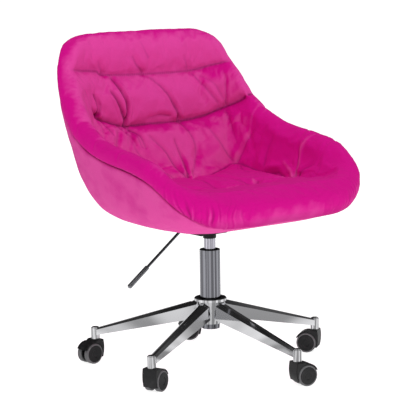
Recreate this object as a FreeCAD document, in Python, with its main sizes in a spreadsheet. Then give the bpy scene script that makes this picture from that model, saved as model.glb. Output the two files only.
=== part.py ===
import FreeCAD, Part
import math
import os
import re
import Sketcher

# Styling chair: a tufted bucket seat on a gas lift, with a five-legged base on twin-wheel casters.
# The origin is on the floor under the swivel axis, +Z is up, and the seat faces -Y.

doc = FreeCAD.newDocument("StylingChair")
Vector = FreeCAD.Vector
UP = Vector(0, 0, 1)

# ---------------------------------------------------------------------------------------------
# Driving dimensions, in millimetres and degrees
# ---------------------------------------------------------------------------------------------
DIMENSIONS = [
    # bucket seat
    ("bucket_half_width", 298), ("bucket_front_reach", 302), ("bucket_back_reach", 300),
    ("front_edge_height", 418), ("back_top_height", 801), ("seat_top_height", 449),
    ("underside_height", 359), ("bucket_centre_y", -10), ("seat_flat_radius", 110),
    ("rim_inner_depth", 30), ("rim_outer_depth", 34), ("cover_thickness", 12),
    ("shell_thickness", 8), ("layer_gap", 0.5), ("shell_edge_share", 0.94),
    # seat fixings
    ("bolt_side", 50), ("bolt_fore", 60), ("bolt_radius", 3), ("bolt_hole_clearance", 0.3),
    ("bolt_head_radius", 5.5), ("bolt_head_height", 4), ("washer_radius", 8),
    ("washer_thickness", 1.5), ("nut_flange_radius", 9.5), ("nut_flange_thickness", 1.5),
    ("nut_barrel_radius", 4.2), ("nut_barrel_length", 7),
    # seat plate, bracket and taper socket
    ("plate_thickness", 3), ("plate_half_width", 68), ("plate_half_depth", 80),
    ("bracket_left", -46), ("bracket_right", 34), ("bracket_half_depth", 25),
    ("bracket_height", 28), ("bracket_wall", 2.5), ("lever_slot_half_width", 6),
    ("socket_drop", 12), ("socket_rise", 8), ("socket_radius", 16), ("taper_drop", 0.6),
    # lever
    ("lever_rise", 17), ("lever_pivot_offset", 30), ("lever_rod_radius", 3.5),
    ("lever_inner_end", 6), ("lever_bend_out", 87), ("lever_bend_radius", 18),
    ("lever_tip_out", 243), ("lever_tip_drop", 115.5), ("lever_sleeve_radius", 6),
    ("lever_sleeve_half", 14), ("lever_pin_radius", 3), ("grip_radius", 5.6), ("grip_length", 66),
    ("grip_overhang", 4),
    # gas lift
    ("tube_radius", 25), ("tube_wall", 2), ("cylinder_showing", 27), ("tube_bottom", 94),
    ("tube_taper", 3), ("tube_floor", 4), ("cylinder_radius", 14), ("cylinder_wall", 2),
    ("cylinder_bottom", 112), ("cylinder_stand", 1), ("cylinder_cap", 6), ("crown_cap", 14),
    ("lift_stroke", 100), ("rod_radius", 5), ("rod_shoulder_radius", 9), ("bearing_height", 5),
    ("shoulder_height", 3), ("piston_height", 8), ("running_clearance", 0.05),
    ("end_gap", 0.3), ("clip_radius", 9), ("clip_thickness", 1.5), ("rod_tail", 4),
    ("bush_length", 84), ("bush_recess", 1.2), ("release_pin_radius", 4), ("release_pin_gap", 0.2),
    # star base
    ("star_radius", 290), ("first_leg_angle", -13.2), ("hub_radius", 39.5), ("hub_top", 170),
    ("hub_bottom", 107), ("hub_foot_radius", 27), ("hub_flange_height", 7), ("ring_radius", 34),
    ("ring_depth", 6), ("leg_root_drop", 7), ("leg_root_depth", 44), ("leg_root_half", 16),
    ("leg_tip_drop", 2), ("leg_tip_depth", 17), ("leg_tip_half", 9.8), ("leg_wall", 3),
    ("leg_root_radius", 36), ("leg_crown_share", 0.34), ("leg_bevel_share", 0.22),
    ("leg_socket_radius", 10.4), ("collar_height", 1), ("leg_socket_length", 29.2),
    ("leg_socket_crown", 2),
    # casters
    ("wheel_radius", 25), ("wheel_trail", 18), ("tread_depth", 4), ("wheel_inner_face", 6.2),
    ("wheel_outer_face", 20.7), ("wheel_hub_radius", 7.5), ("wheel_disc", 3.7), ("axle_radius", 3),
    ("tread_inset", 0.8), ("hood_clearance", 1.2), ("hood_wall", 2.8), ("hood_half_width", 19),
    ("hood_web_half", 5.6), ("hood_crown_rise", 3.8), ("hood_crown_half", 10.5),
    ("hood_tail_angle", 25), ("hood_apron_angle", 204), ("stem_radius", 5.5), ("stem_end_gap", 4),
    ("pintle_radius", 4), ("pintle_length", 20.8), ("collar_radius", 8), ("hood_apron_radius", 80),
    ("hood_edge_radius", 1.6), ("heading_one", 124), ("heading_two", 151), ("heading_three", 184),
    ("heading_four", 22), ("heading_five", 349),
]

sheet = doc.addObject("Spreadsheet::Sheet", "Dims")
for row, (alias, value) in enumerate(DIMENSIONS, start=1):
    sheet.set("A%d" % row, alias)
    sheet.set("B%d" % row, str(value))
    sheet.setAlias("B%d" % row, alias)
doc.recompute()


def size(text):
    """The number that an expression over the sheet's names gives."""
    result = sheet.evalExpression(named(text))
    return float(getattr(result, "Value", result))


def dim(alias):
    return float(sheet.get(alias))


def named(text):
    """The same expression with each bare name pointed at the sheet."""
    return re.sub(r"[a-z]+(_[a-z]+)+", lambda match: "Dims." + match.group(0), text)


# ---------------------------------------------------------------------------------------------
# Heights that follow from the dimensions: up from the wheels, and down from the seat
# ---------------------------------------------------------------------------------------------
HOOD_TOP = "(2 * wheel_radius + hood_clearance + hood_wall + hood_crown_rise)"
PINTLE_LOW = "(" + HOOD_TOP + " - pintle_length)"
LEG_SOCKET_LOW = "(" + HOOD_TOP + " + collar_height)"
LEG_SOCKET_TOP = "(" + LEG_SOCKET_LOW + " + leg_socket_length)"
STEM_TOP = "(" + LEG_SOCKET_TOP + " - stem_end_gap)"
LEG_TIP_TOP = "(" + LEG_SOCKET_TOP + " - leg_tip_drop)"
LEG_ROOT_TOP = "(hub_top - leg_root_drop)"
BRACKET_TOP = "(underside_height - plate_thickness)"
BRACKET_LOW = "(" + BRACKET_TOP + " - bracket_height)"
LEVER_HEIGHT = "(" + BRACKET_LOW + " + lever_rise)"
LEVER_TIP_HEIGHT = "(" + LEVER_HEIGHT + " - lever_tip_drop)"
SOCKET_LOW = "(" + BRACKET_LOW + " - socket_drop)"
SOCKET_TOP = "(" + BRACKET_LOW + " + socket_rise)"
CYLINDER_TOP = "(" + SOCKET_TOP + " + cylinder_stand)"
TUBE_TOP = "(" + SOCKET_LOW + " - cylinder_showing)"
TUBE_FOOT = "(tube_radius - tube_taper)"


# ---------------------------------------------------------------------------------------------
# Helpers for bodies, sketches and features
# ---------------------------------------------------------------------------------------------
def new_body(label):
    body = doc.addObject("PartDesign::Body", label)
    body.Label = label
    body.AllowCompound = True
    return body


def new_sketch(body, name, plane, shift=None):
    """A sketch on one of the body's own origin planes, shifted along the plane's normal."""
    sketch = body.newObject("Sketcher::SketchObject", name)
    support = [item for item in body.Origin.OriginFeatures if item.Role == plane][0]
    sketch.AttachmentSupport = [(support, "")]
    sketch.MapMode = "FlatFace"
    if shift is not None:
        sketch.setExpression("AttachmentOffset.Base.z", named(shift))
    return sketch


def pin_point(sketch, geometry, position, x_text, y_text):
    for kind, text in (("DistanceX", x_text), ("DistanceY", y_text)):
        value = size(text)
        index = sketch.addConstraint(Sketcher.Constraint(kind, -1, 1, geometry, position, value))
        sketch.setExpression("Constraints[%d]" % index, named(text))


def arc_between(start, end, radius, side):
    """An arc from start to end; side is 1 where the arc bulges to the left of the way."""
    chord = end - start
    half = chord.Length / 2
    left = UP.cross(chord).normalize()
    rise = math.sqrt(max(radius ** 2 - half ** 2, 0))
    middle = (start + end) / 2 + left * (side * (radius - rise))
    return Part.Arc(start, middle, end)


def outline(body, name, plane, corners, shift=None):
    """A closed outline. A corner is (x, y), or (x, y, radius, side) where an arc leaves it."""
    sketch = new_sketch(body, name, plane, shift)
    spots = [Vector(size(corner[0]), size(corner[1]), 0) for corner in corners]
    count = len(corners)
    for index, corner in enumerate(corners):
        start, end = spots[index], spots[(index + 1) % count]
        if len(corner) == 4:
            edge = arc_between(start, end, size(corner[2]), corner[3])
        else:
            edge = Part.LineSegment(start, end)
        sketch.addGeometry(edge, False)
    starts = [1 if len(corner) == 2 or corner[3] < 0 else 2 for corner in corners]
    for index, corner in enumerate(corners):
        following = (index + 1) % count
        end_of_this = 3 - starts[index]
        sketch.addConstraint(
            Sketcher.Constraint("Coincident", index, end_of_this, following, starts[following]))
    for index, corner in enumerate(corners):
        pin_point(sketch, index, starts[index], corner[0], corner[1])
        if len(corner) == 4:
            radius = size(corner[2])
            number = sketch.addConstraint(Sketcher.Constraint("Radius", index, radius))
            sketch.setExpression("Constraints[%d]" % number, named(corner[2]))
    return sketch


def circles(body, name, plane, centres, radius, shift=None):
    sketch = new_sketch(body, name, plane, shift)
    for index, (x_text, y_text) in enumerate(centres):
        spot = Vector(size(x_text), size(y_text), 0)
        sketch.addGeometry(Part.Circle(spot, UP, size(radius)), False)
        pin_point(sketch, index, 3, x_text, y_text)
        number = sketch.addConstraint(Sketcher.Constraint("Radius", index, size(radius)))
        sketch.setExpression("Constraints[%d]" % number, named(radius))
    return sketch


def pad(body, name, profile, length, symmetric=False):
    feature = body.newObject("PartDesign::Pad", name)
    feature.Profile = (profile, [""])
    feature.setExpression("Length", named(length))
    if symmetric:
        feature.SideType = "Symmetric"
    return feature


def pocket(body, name, profile, length, reverse=False, symmetric=False):
    feature = body.newObject("PartDesign::Pocket", name)
    feature.Profile = (profile, [""])
    feature.setExpression("Length", named(length))
    feature.Reversed = reverse
    if symmetric:
        feature.SideType = "Symmetric"
    return feature


def revolve(label, corners, axis="V_Axis"):
    """A body turned about its own Z axis from an outline in its XZ plane."""
    body = new_body(label)
    profile = outline(body, label + "_profile", "XZ_Plane", corners)
    feature = body.newObject("PartDesign::Revolution", label + "_turned")
    feature.Profile = (profile, [""])
    feature.ReferenceAxis = (profile, [axis])
    feature.Angle = 360
    return body


def ring_corners(inner, outer, low, high):
    return [(inner, low), (outer, low), (outer, high), (inner, high)]


# ---------------------------------------------------------------------------------------------
# Star base: turned hub, five hollow pressed legs, a socket at each tip
# ---------------------------------------------------------------------------------------------
BORE_AT_FOOT = "tube_radius - (hub_top - hub_bottom) * tube_taper / (hub_top - tube_bottom)"


def leg_section(body, name, top, depth, half, shift, inset=None):
    """The leg across: a narrow crown, a bevel each side and straight walls down."""
    crown = half + " * leg_crown_share"
    bevel = depth + " * leg_bevel_share"
    low = top + " - " + depth
    if inset is not None:
        crown = crown + " - 0.4 * " + inset
        half = half + " - " + inset
        top = top + " - " + inset
        low = low + " - " + inset
        bevel = bevel + " * 0.9"
    right = [(half, low), (half, top + " - " + bevel), (crown, top)]
    left = [("-(" + x + ")", z) for x, z in reversed(right)]
    return outline(body, name, "YZ_Plane", right + left, shift)


def make_star_base():
    body = new_body("star_base")
    hub = outline(body, "hub_profile", "XZ_Plane", [
        (BORE_AT_FOOT, "hub_bottom"), ("hub_foot_radius", "hub_bottom"),
        ("hub_radius - 4", "hub_top - 26"), ("hub_radius", "hub_top - hub_flange_height"),
        ("hub_radius", "hub_top - 1.5"), ("hub_radius - 1.5", "hub_top"),
        ("ring_radius", "hub_top"), ("ring_radius", "hub_top - ring_depth"),
        ("tube_radius", "hub_top - ring_depth")])
    turned = body.newObject("PartDesign::Revolution", "hub_turned")
    turned.Profile = (hub, [""])
    turned.ReferenceAxis = (hub, ["V_Axis"])
    turned.Angle = 360
    root = leg_section(body, "leg_root", LEG_ROOT_TOP, "leg_root_depth", "leg_root_half",
                       "leg_root_radius - 4")
    tip = leg_section(body, "leg_tip", LEG_TIP_TOP, "leg_tip_depth", "leg_tip_half",
                      "star_radius - leg_socket_radius / 2")
    leg = body.newObject("PartDesign::AdditiveLoft", "leg")
    leg.Profile = (root, [""])
    leg.Sections = [(tip, [""])]
    hollow_root = leg_section(body, "hollow_root", LEG_ROOT_TOP, "leg_root_depth",
                              "leg_root_half", "hub_radius + 3", "leg_wall")
    hollow_tip = leg_section(body, "hollow_tip", LEG_TIP_TOP, "leg_tip_depth",
                             "leg_tip_half", "star_radius - 2 * leg_socket_radius", "leg_wall")
    hollow = body.newObject("PartDesign::SubtractiveLoft", "leg_hollow")
    hollow.Profile = (hollow_root, [""])
    hollow.Sections = [(hollow_tip, [""])]
    tip_centre = [("star_radius", "0")]
    socket = pad(body, "leg_socket", circles(
        body, "socket_circle", "XY_Plane", tip_centre, "leg_socket_radius", LEG_SOCKET_LOW),
        LEG_SOCKET_TOP + " - leg_socket_crown - " + LEG_SOCKET_LOW)
    crown = pad(body, "leg_socket_crown", circles(
        body, "crown_circle", "XY_Plane", tip_centre, "leg_socket_radius - leg_socket_crown",
        LEG_SOCKET_TOP + " - leg_socket_crown"), "leg_socket_crown")
    bore = pocket(body, "leg_socket_bore", circles(
        body, "bore_circle", "XY_Plane", tip_centre, "stem_radius", LEG_SOCKET_LOW),
        STEM_TOP + " - " + LEG_SOCKET_LOW, reverse=True)
    pattern = body.newObject("PartDesign::PolarPattern", "five_legs")
    pattern.Originals = [leg, hollow, socket, crown, bore]
    pattern.Axis = (hub, ["V_Axis"])
    pattern.Angle = 360
    pattern.Occurrences = 5
    body.Tip = pattern
    turn_about_axis(body, "first_leg_angle")


def turn_about_axis(item, angle):
    item.Placement = FreeCAD.Placement(Vector(), FreeCAD.Rotation(UP, size(angle)))
    item.setExpression("Placement.Rotation.Angle", named(angle))


def make_hub_ring():
    """The black ring between the hub's recess and the lift tube."""
    revolve("hub_ring", [
        ("tube_radius", "hub_top - ring_depth"), ("ring_radius", "hub_top - ring_depth"),
        ("ring_radius", "hub_top - 3"), ("ring_radius - 1", "hub_top - 2"),
        ("tube_radius + 1", "hub_top - 2"), ("tube_radius", "hub_top - 3")])


# ---------------------------------------------------------------------------------------------
# Gas lift
# ---------------------------------------------------------------------------------------------
FLOOR_TOP = "tube_bottom + tube_floor"
SHOULDER_LOW = FLOOR_TOP + " + bearing_height + running_clearance"
SHOULDER_TOP = SHOULDER_LOW + " + shoulder_height"
PISTON_LOW = "cylinder_bottom + cylinder_cap + lift_stroke + 2"


def make_stand_tube():
    bore = "tube_radius - tube_wall"
    foot_bore = TUBE_FOOT + " - tube_wall"
    lip = TUBE_TOP + " - 1"
    revolve("stand_tube", [
        ("rod_radius + 1", "tube_bottom"), (TUBE_FOOT, "tube_bottom"),
        ("tube_radius", "hub_top"), ("tube_radius", lip), ("tube_radius - 1", TUBE_TOP),
        (bore, TUBE_TOP), (bore, "hub_top"), (foot_bore, FLOOR_TOP),
        ("rod_radius + 1", FLOOR_TOP)])


def make_guide_bush():
    """The long plastic bush that guides the cylinder in the top of the tube."""
    top = TUBE_TOP + " - bush_recess"
    revolve("guide_bush", ring_corners(
        "cylinder_radius + running_clearance", "tube_radius - tube_wall",
        top + " - bush_length", top))


def make_thrust_bearing():
    revolve("thrust_bearing", ring_corners(
        "rod_radius + 1", "rod_shoulder_radius + 1", FLOOR_TOP, FLOOR_TOP + " + bearing_height"))


def make_piston_rod():
    """The rod stands on the bearing, and its piston runs in the cylinder."""
    piston = "cylinder_radius - cylinder_wall - running_clearance"
    tail = "tube_bottom - rod_tail"
    revolve("piston_rod", [
        ("0", tail), ("rod_radius", tail), ("rod_radius", SHOULDER_LOW),
        ("rod_shoulder_radius", SHOULDER_LOW), ("rod_shoulder_radius", SHOULDER_TOP),
        ("rod_radius", SHOULDER_TOP), ("rod_radius", PISTON_LOW), (piston, PISTON_LOW),
        (piston, PISTON_LOW + " + piston_height"), ("0", PISTON_LOW + " + piston_height")])


def make_retaining_clip():
    top = "tube_bottom - running_clearance"
    revolve("retaining_clip", ring_corners(
        "rod_radius", "clip_radius", top + " - clip_thickness", top))


def make_bumper():
    revolve("bumper", ring_corners(
        "rod_radius", "rod_shoulder_radius", SHOULDER_TOP, "cylinder_bottom - end_gap"))


def make_gas_cylinder():
    bore = "cylinder_radius - cylinder_wall"
    pin_bore = "release_pin_radius + running_clearance"
    cap_top = "cylinder_bottom + cylinder_cap"
    crown_low = CYLINDER_TOP + " - crown_cap"
    revolve("gas_cylinder", [
        ("rod_radius + running_clearance", "cylinder_bottom"),
        ("cylinder_radius", "cylinder_bottom"), ("cylinder_radius", SOCKET_LOW),
        ("cylinder_radius - taper_drop", SOCKET_TOP),
        ("cylinder_radius - taper_drop - 1", CYLINDER_TOP), (pin_bore, CYLINDER_TOP),
        (pin_bore, crown_low), (bore, crown_low), (bore, cap_top),
        ("rod_radius + running_clearance", cap_top)])


def make_release_pin():
    top = LEVER_HEIGHT + " - lever_rod_radius - release_pin_gap"
    low = CYLINDER_TOP + " - crown_cap - 2"
    revolve("release_pin", [
        ("0", low), ("release_pin_radius", low), ("release_pin_radius", top + " - 1"),
        ("release_pin_radius - 1", top), ("0", top)])


# ---------------------------------------------------------------------------------------------
# Seat plate, bracket, taper socket and their fixings
# ---------------------------------------------------------------------------------------------
BOLT_SPOTS = [("bolt_side", "bucket_centre_y + bolt_fore"),
              ("-bolt_side", "bucket_centre_y + bolt_fore"),
              ("-bolt_side", "bucket_centre_y - bolt_fore"),
              ("bolt_side", "bucket_centre_y - bolt_fore")]
NUT_LOW = "underside_height + cover_thickness + layer_gap + shell_thickness - nut_barrel_length"


def rectangle(left, right, low, high):
    return [(left, low), (right, low), (right, high), (left, high)]


def make_taper_socket():
    """The black collar that the cylinder's tapered end jams into."""
    flange_low = SOCKET_TOP + " - 4"
    wall = "socket_radius"
    revolve("taper_socket", [
        ("cylinder_radius", SOCKET_LOW), (wall + " - 1", SOCKET_LOW),
        (wall, SOCKET_LOW + " + 1"), (wall, BRACKET_LOW),
        (wall, BRACKET_LOW + " + bracket_wall"), (wall + " + 4", BRACKET_LOW + " + bracket_wall"),
        (wall + " + 4", flange_low + " + 4"), ("cylinder_radius - taper_drop", SOCKET_TOP)])


def make_seat_plate():
    body = new_body("seat_plate")
    face = outline(body, "plate_outline", "XY_Plane", rectangle(
        "-plate_half_width", "plate_half_width", "bucket_centre_y - plate_half_depth",
        "bucket_centre_y + plate_half_depth"), BRACKET_TOP)
    plate = pad(body, "plate", face, "plate_thickness")
    doc.recompute()
    corners = body.newObject("PartDesign::Fillet", "plate_corners")
    upright = [index + 1 for index, edge in enumerate(plate.Shape.Edges)
               if abs(edge.tangentAt(edge.FirstParameter).z) > 0.99]
    corners.Base = (plate, ["Edge%d" % index for index in upright])
    corners.Radius = 12
    holes = circles(body, "plate_holes", "XY_Plane", BOLT_SPOTS,
                    "bolt_radius + bolt_hole_clearance", BRACKET_TOP)
    pocket(body, "plate_bores", holes, "plate_thickness", reverse=True)


def make_mechanism_bracket():
    """A pressed box under the plate, open above, with a slot for the lever on the right."""
    body = new_body("mechanism_bracket")
    block = outline(body, "bracket_outline", "XY_Plane", rectangle(
        "bracket_left", "bracket_right", "-bracket_half_depth", "bracket_half_depth"), BRACKET_LOW)
    pad(body, "bracket_block", block, "bracket_height")
    inside = outline(body, "bracket_inside", "XY_Plane", rectangle(
        "bracket_left + bracket_wall", "bracket_right - bracket_wall",
        "bracket_wall - bracket_half_depth", "bracket_half_depth - bracket_wall"),
        BRACKET_LOW + " + bracket_wall")
    pocket(body, "bracket_hollow", inside, "bracket_height - bracket_wall", reverse=True)
    hole = circles(body, "bracket_hole", "XY_Plane", [("0", "0")],
                   "socket_radius", BRACKET_LOW)
    pocket(body, "bracket_bore", hole, "bracket_wall", reverse=True)
    slot = outline(body, "slot_outline", "YZ_Plane", rectangle(
        "-lever_slot_half_width", "lever_slot_half_width",
        LEVER_HEIGHT + " - lever_rod_radius - 2.5", BRACKET_TOP), "bracket_left")
    pocket(body, "lever_slot", slot, "bracket_wall", reverse=True)
    pin_hole = circles(body, "pin_hole", "XZ_Plane", [("-lever_pivot_offset", LEVER_HEIGHT)],
                       "lever_pin_radius")
    pocket(body, "pin_bore", pin_hole, "2 * bracket_half_depth", symmetric=True)


def make_lever_pivot_pin():
    body = new_body("lever_pivot_pin")
    face = circles(body, "pin_circle", "XZ_Plane", [("-lever_pivot_offset", LEVER_HEIGHT)],
                   "lever_pin_radius")
    pad(body, "pin", face, "2 * bracket_half_depth + 2", symmetric=True)


def make_seat_washers():
    body = new_body("seat_washers")
    low = BRACKET_TOP + " - washer_thickness"
    pad(body, "washer_discs", circles(body, "washer_rims", "XY_Plane", BOLT_SPOTS,
                                      "washer_radius", low), "washer_thickness")
    holes = circles(body, "washer_holes", "XY_Plane", BOLT_SPOTS,
                    "bolt_radius + bolt_hole_clearance", low)
    pocket(body, "washer_bores", holes, "washer_thickness", reverse=True)


def make_seat_bolts():
    body = new_body("seat_bolts")
    head_top = BRACKET_TOP + " - washer_thickness"
    heads = circles(body, "head_rims", "XY_Plane", BOLT_SPOTS, "bolt_head_radius",
                    head_top + " - bolt_head_height")
    pad(body, "bolt_heads", heads, "bolt_head_height")
    shanks = circles(body, "shank_rims", "XY_Plane", BOLT_SPOTS, "bolt_radius",
                     head_top + " - 1")
    pad(body, "bolt_shanks", shanks,
        "1 + washer_thickness + plate_thickness + cover_thickness + layer_gap + shell_thickness")
    sockets = circles(body, "key_sockets", "XY_Plane", BOLT_SPOTS, "bolt_radius * 0.7",
                      head_top + " - bolt_head_height")
    pocket(body, "bolt_keys", sockets, "bolt_head_height * 0.6", reverse=True)


def make_tee_nuts():
    body = new_body("tee_nuts")
    shell_top = "underside_height + cover_thickness + layer_gap + shell_thickness"
    pad(body, "nut_barrels", circles(body, "barrel_rims", "XY_Plane", BOLT_SPOTS,
                                     "nut_barrel_radius", NUT_LOW), "nut_barrel_length")
    pad(body, "nut_flanges", circles(body, "flange_rims", "XY_Plane", BOLT_SPOTS,
                                     "nut_flange_radius", shell_top), "nut_flange_thickness")
    bores = circles(body, "nut_holes", "XY_Plane", BOLT_SPOTS,
                    "bolt_radius + running_clearance", NUT_LOW)
    pocket(body, "nut_bores", bores, "nut_barrel_length + nut_flange_thickness", reverse=True)


# ---------------------------------------------------------------------------------------------
# Lever: a bent rod on a cross sleeve, with a thicker grip
# ---------------------------------------------------------------------------------------------
LEVER_SLOPE = "atan2(lever_tip_drop; lever_tip_out - lever_bend_out)"


def make_lever_rod():
    body = new_body("lever_rod")
    section = circles(body, "rod_section", "YZ_Plane", [("0", LEVER_HEIGHT)],
                      "lever_rod_radius", "lever_inner_end")
    path = new_sketch(body, "rod_path", "XZ_Plane")
    slope = math.radians(size(LEVER_SLOPE))
    bend = Vector(-dim("lever_bend_out"), size(LEVER_HEIGHT), 0)
    away = Vector(-math.cos(slope), -math.sin(slope), 0)
    reach = dim("lever_bend_radius") * math.tan(slope / 2)
    start = Vector(dim("lever_inner_end"), size(LEVER_HEIGHT), 0)
    bend_start = bend + Vector(reach, 0, 0)
    bend_end = bend + away * reach
    centre = bend_start - Vector(0, dim("lever_bend_radius"), 0)
    middle = centre + (bend - centre).normalize() * dim("lever_bend_radius")
    tip = Vector(-dim("lever_tip_out"), size(LEVER_TIP_HEIGHT), 0)
    path.addGeometry(Part.LineSegment(start, bend_start), False)
    path.addGeometry(Part.Arc(bend_start, middle, bend_end), False)
    path.addGeometry(Part.LineSegment(bend_end, tip), False)
    pipe = body.newObject("PartDesign::AdditivePipe", "rod")
    pipe.Profile = (section, [""])
    pipe.Spine = (path, [""])
    sleeve = circles(body, "sleeve_circle", "XZ_Plane",
                     [("-lever_pivot_offset", LEVER_HEIGHT)], "lever_sleeve_radius")
    pad(body, "sleeve", sleeve, "2 * lever_sleeve_half", symmetric=True)
    bore = circles(body, "sleeve_hole", "XZ_Plane", [("-lever_pivot_offset", LEVER_HEIGHT)],
                   "lever_pin_radius + running_clearance")
    pocket(body, "sleeve_bore", bore, "2 * lever_sleeve_half", symmetric=True)


def make_lever_grip():
    """A round-ended sleeve over the rod's outer end, made upright and then laid along it."""
    body = new_body("lever_grip")
    nose = "grip_radius * 0.6"
    profile = outline(body, "grip_profile", "XZ_Plane", [
        ("lever_rod_radius", "-grip_length"), ("grip_radius - 0.8", "-grip_length"),
        ("grip_radius", "0.8 - grip_length"), ("grip_radius", "grip_overhang - " + nose),
        ("grip_radius - 1.6", "grip_overhang - 1"), ("grip_radius * 0.4", "grip_overhang"),
        ("0", "grip_overhang"), ("0", "0"), ("lever_rod_radius", "0")])
    turned = body.newObject("PartDesign::Revolution", "grip")
    turned.Profile = (profile, [""])
    turned.ReferenceAxis = (profile, ["V_Axis"])
    turned.Angle = 360
    tilt = FreeCAD.Rotation(Vector(0, -1, 0), 90 + size(LEVER_SLOPE))
    tip = Vector(-dim("lever_tip_out"), 0, size(LEVER_TIP_HEIGHT))
    body.Placement = FreeCAD.Placement(tip, tilt)
    body.setExpression("Placement.Rotation.Angle", "90 deg + " + named(LEVER_SLOPE))
    body.setExpression("Placement.Base.x", named("-lever_tip_out"))
    body.setExpression("Placement.Base.z", named(LEVER_TIP_HEIGHT))


# ---------------------------------------------------------------------------------------------
# Casters: made about their own stem axis, wheels trailing towards +X, then set under a leg tip
# ---------------------------------------------------------------------------------------------
CASTER_HEADINGS = ["heading_one", "heading_two", "heading_three", "heading_four", "heading_five"]
HOOD_INNER = "(wheel_radius + hood_clearance)"
HOOD_OUTER = "(wheel_radius + hood_clearance + hood_wall)"


def set_under_leg(body, index, offset=None, turn=None):
    """Moves a caster piece from the stem's own frame to the tip of leg number index."""
    leg_angle = "(first_leg_angle + %d)" % (72 * index)
    heading = FreeCAD.Rotation(UP, size(CASTER_HEADINGS[index]))
    offset = heading.multVec(offset or Vector())
    spot = Vector(size("star_radius * cos(%s)" % leg_angle),
                  size("star_radius * sin(%s)" % leg_angle), 0)
    body.Placement = FreeCAD.Placement(spot + offset, heading * (turn or FreeCAD.Rotation()))


def around_axle(radius, angle):
    return ("wheel_trail + %s * cos(%s)" % (radius, angle),
            "wheel_radius + %s * sin(%s)" % (radius, angle))


def make_caster_stem(number):
    collar_low = HOOD_TOP + " + running_clearance"
    body = revolve("caster_stem_%d" % number, [
        ("0", PINTLE_LOW), ("pintle_radius - 1", PINTLE_LOW),
        ("pintle_radius", PINTLE_LOW + " + 1"), ("pintle_radius", collar_low),
        ("collar_radius", collar_low), ("collar_radius", LEG_SOCKET_LOW),
        ("stem_radius", LEG_SOCKET_LOW), ("stem_radius", STEM_TOP + " - 1"),
        ("stem_radius - 1", STEM_TOP), ("0", STEM_TOP)])
    set_under_leg(body, number - 1)


def make_caster_hood(number):
    """The moulded hood: crown, fender and apron in one, over a central web."""
    body = new_body("caster_hood_%d" % number)
    profile = outline(body, "hood_profile", "XZ_Plane", [
        ("-hood_crown_half", HOOD_TOP), ("hood_crown_half - 1", HOOD_TOP),
        around_axle(HOOD_OUTER, "97") + (HOOD_OUTER, 1),
        around_axle(HOOD_OUTER, "hood_tail_angle"),
        around_axle(HOOD_INNER, "hood_tail_angle") + (HOOD_INNER, -1),
        around_axle(HOOD_INNER, "90") + (HOOD_INNER, -1),
        around_axle(HOOD_INNER, "hood_apron_angle"),
        around_axle(HOOD_OUTER, "hood_apron_angle") + ("hood_apron_radius", 1)])
    shade = pad(body, "hood_shade", profile, "2 * hood_half_width", symmetric=True)
    doc.recompute()
    edging = body.newObject("PartDesign::Fillet", "hood_edging")
    edging.Base = (shade, hood_outer_edges(shade.Shape))
    edging.setExpression("Radius", "Dims.hood_edge_radius")
    web_radius = HOOD_INNER + " + 0.5"
    web = outline(body, "web_profile", "XZ_Plane", [
        around_axle("(" + web_radius + ")", "hood_tail_angle") + (web_radius, -1),
        around_axle("(" + web_radius + ")", "90") + (web_radius, -1),
        around_axle("(" + web_radius + ")", "hood_apron_angle")])
    pad(body, "hood_web", web, "2 * hood_web_half", symmetric=True)
    axle_spot = [("wheel_trail", "wheel_radius")]
    boss = circles(body, "boss_circle", "XZ_Plane", axle_spot, "wheel_hub_radius")
    pad(body, "hood_boss", boss, "2 * hood_web_half", symmetric=True)
    bore = circles(body, "axle_hole", "XZ_Plane", axle_spot, "axle_radius")
    pocket(body, "axle_bore", bore, "2 * hood_half_width", symmetric=True)
    hole = circles(body, "pintle_hole", "XY_Plane", [("0", "0")],
                   "pintle_radius + running_clearance", HOOD_TOP)
    pocket(body, "pintle_bore", hole, HOOD_TOP + " - " + PINTLE_LOW + " + end_gap")
    set_under_leg(body, number - 1)


def hood_outer_edges(shape):
    """Names of the side edges along the crown, the fender's top and the apron's front."""
    axle = Vector(dim("wheel_trail"), 0, dim("wheel_radius"))
    names = []
    for index, edge in enumerate(shape.Edges, start=1):
        middle = edge.valueAt((edge.FirstParameter + edge.LastParameter) / 2)
        on_side = abs(abs(middle.y) - dim("hood_half_width")) < 0.01
        flat = abs(edge.BoundBox.YLength) < 0.01
        reach = Vector(middle.x - axle.x, 0, middle.z - axle.z).Length
        if on_side and flat and reach > size(HOOD_INNER) + dim("hood_wall") * 0.8:
            names.append("Edge%d" % index)
    return names


def make_caster_axle(number):
    body = revolve("caster_axle_%d" % number, ring_corners(
        "0", "axle_radius", "-wheel_outer_face + 2", "wheel_outer_face - 2"))
    set_under_leg(body, number - 1, Vector(dim("wheel_trail"), 0, dim("wheel_radius")),
                  FreeCAD.Rotation(Vector(1, 0, 0), -90))


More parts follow.
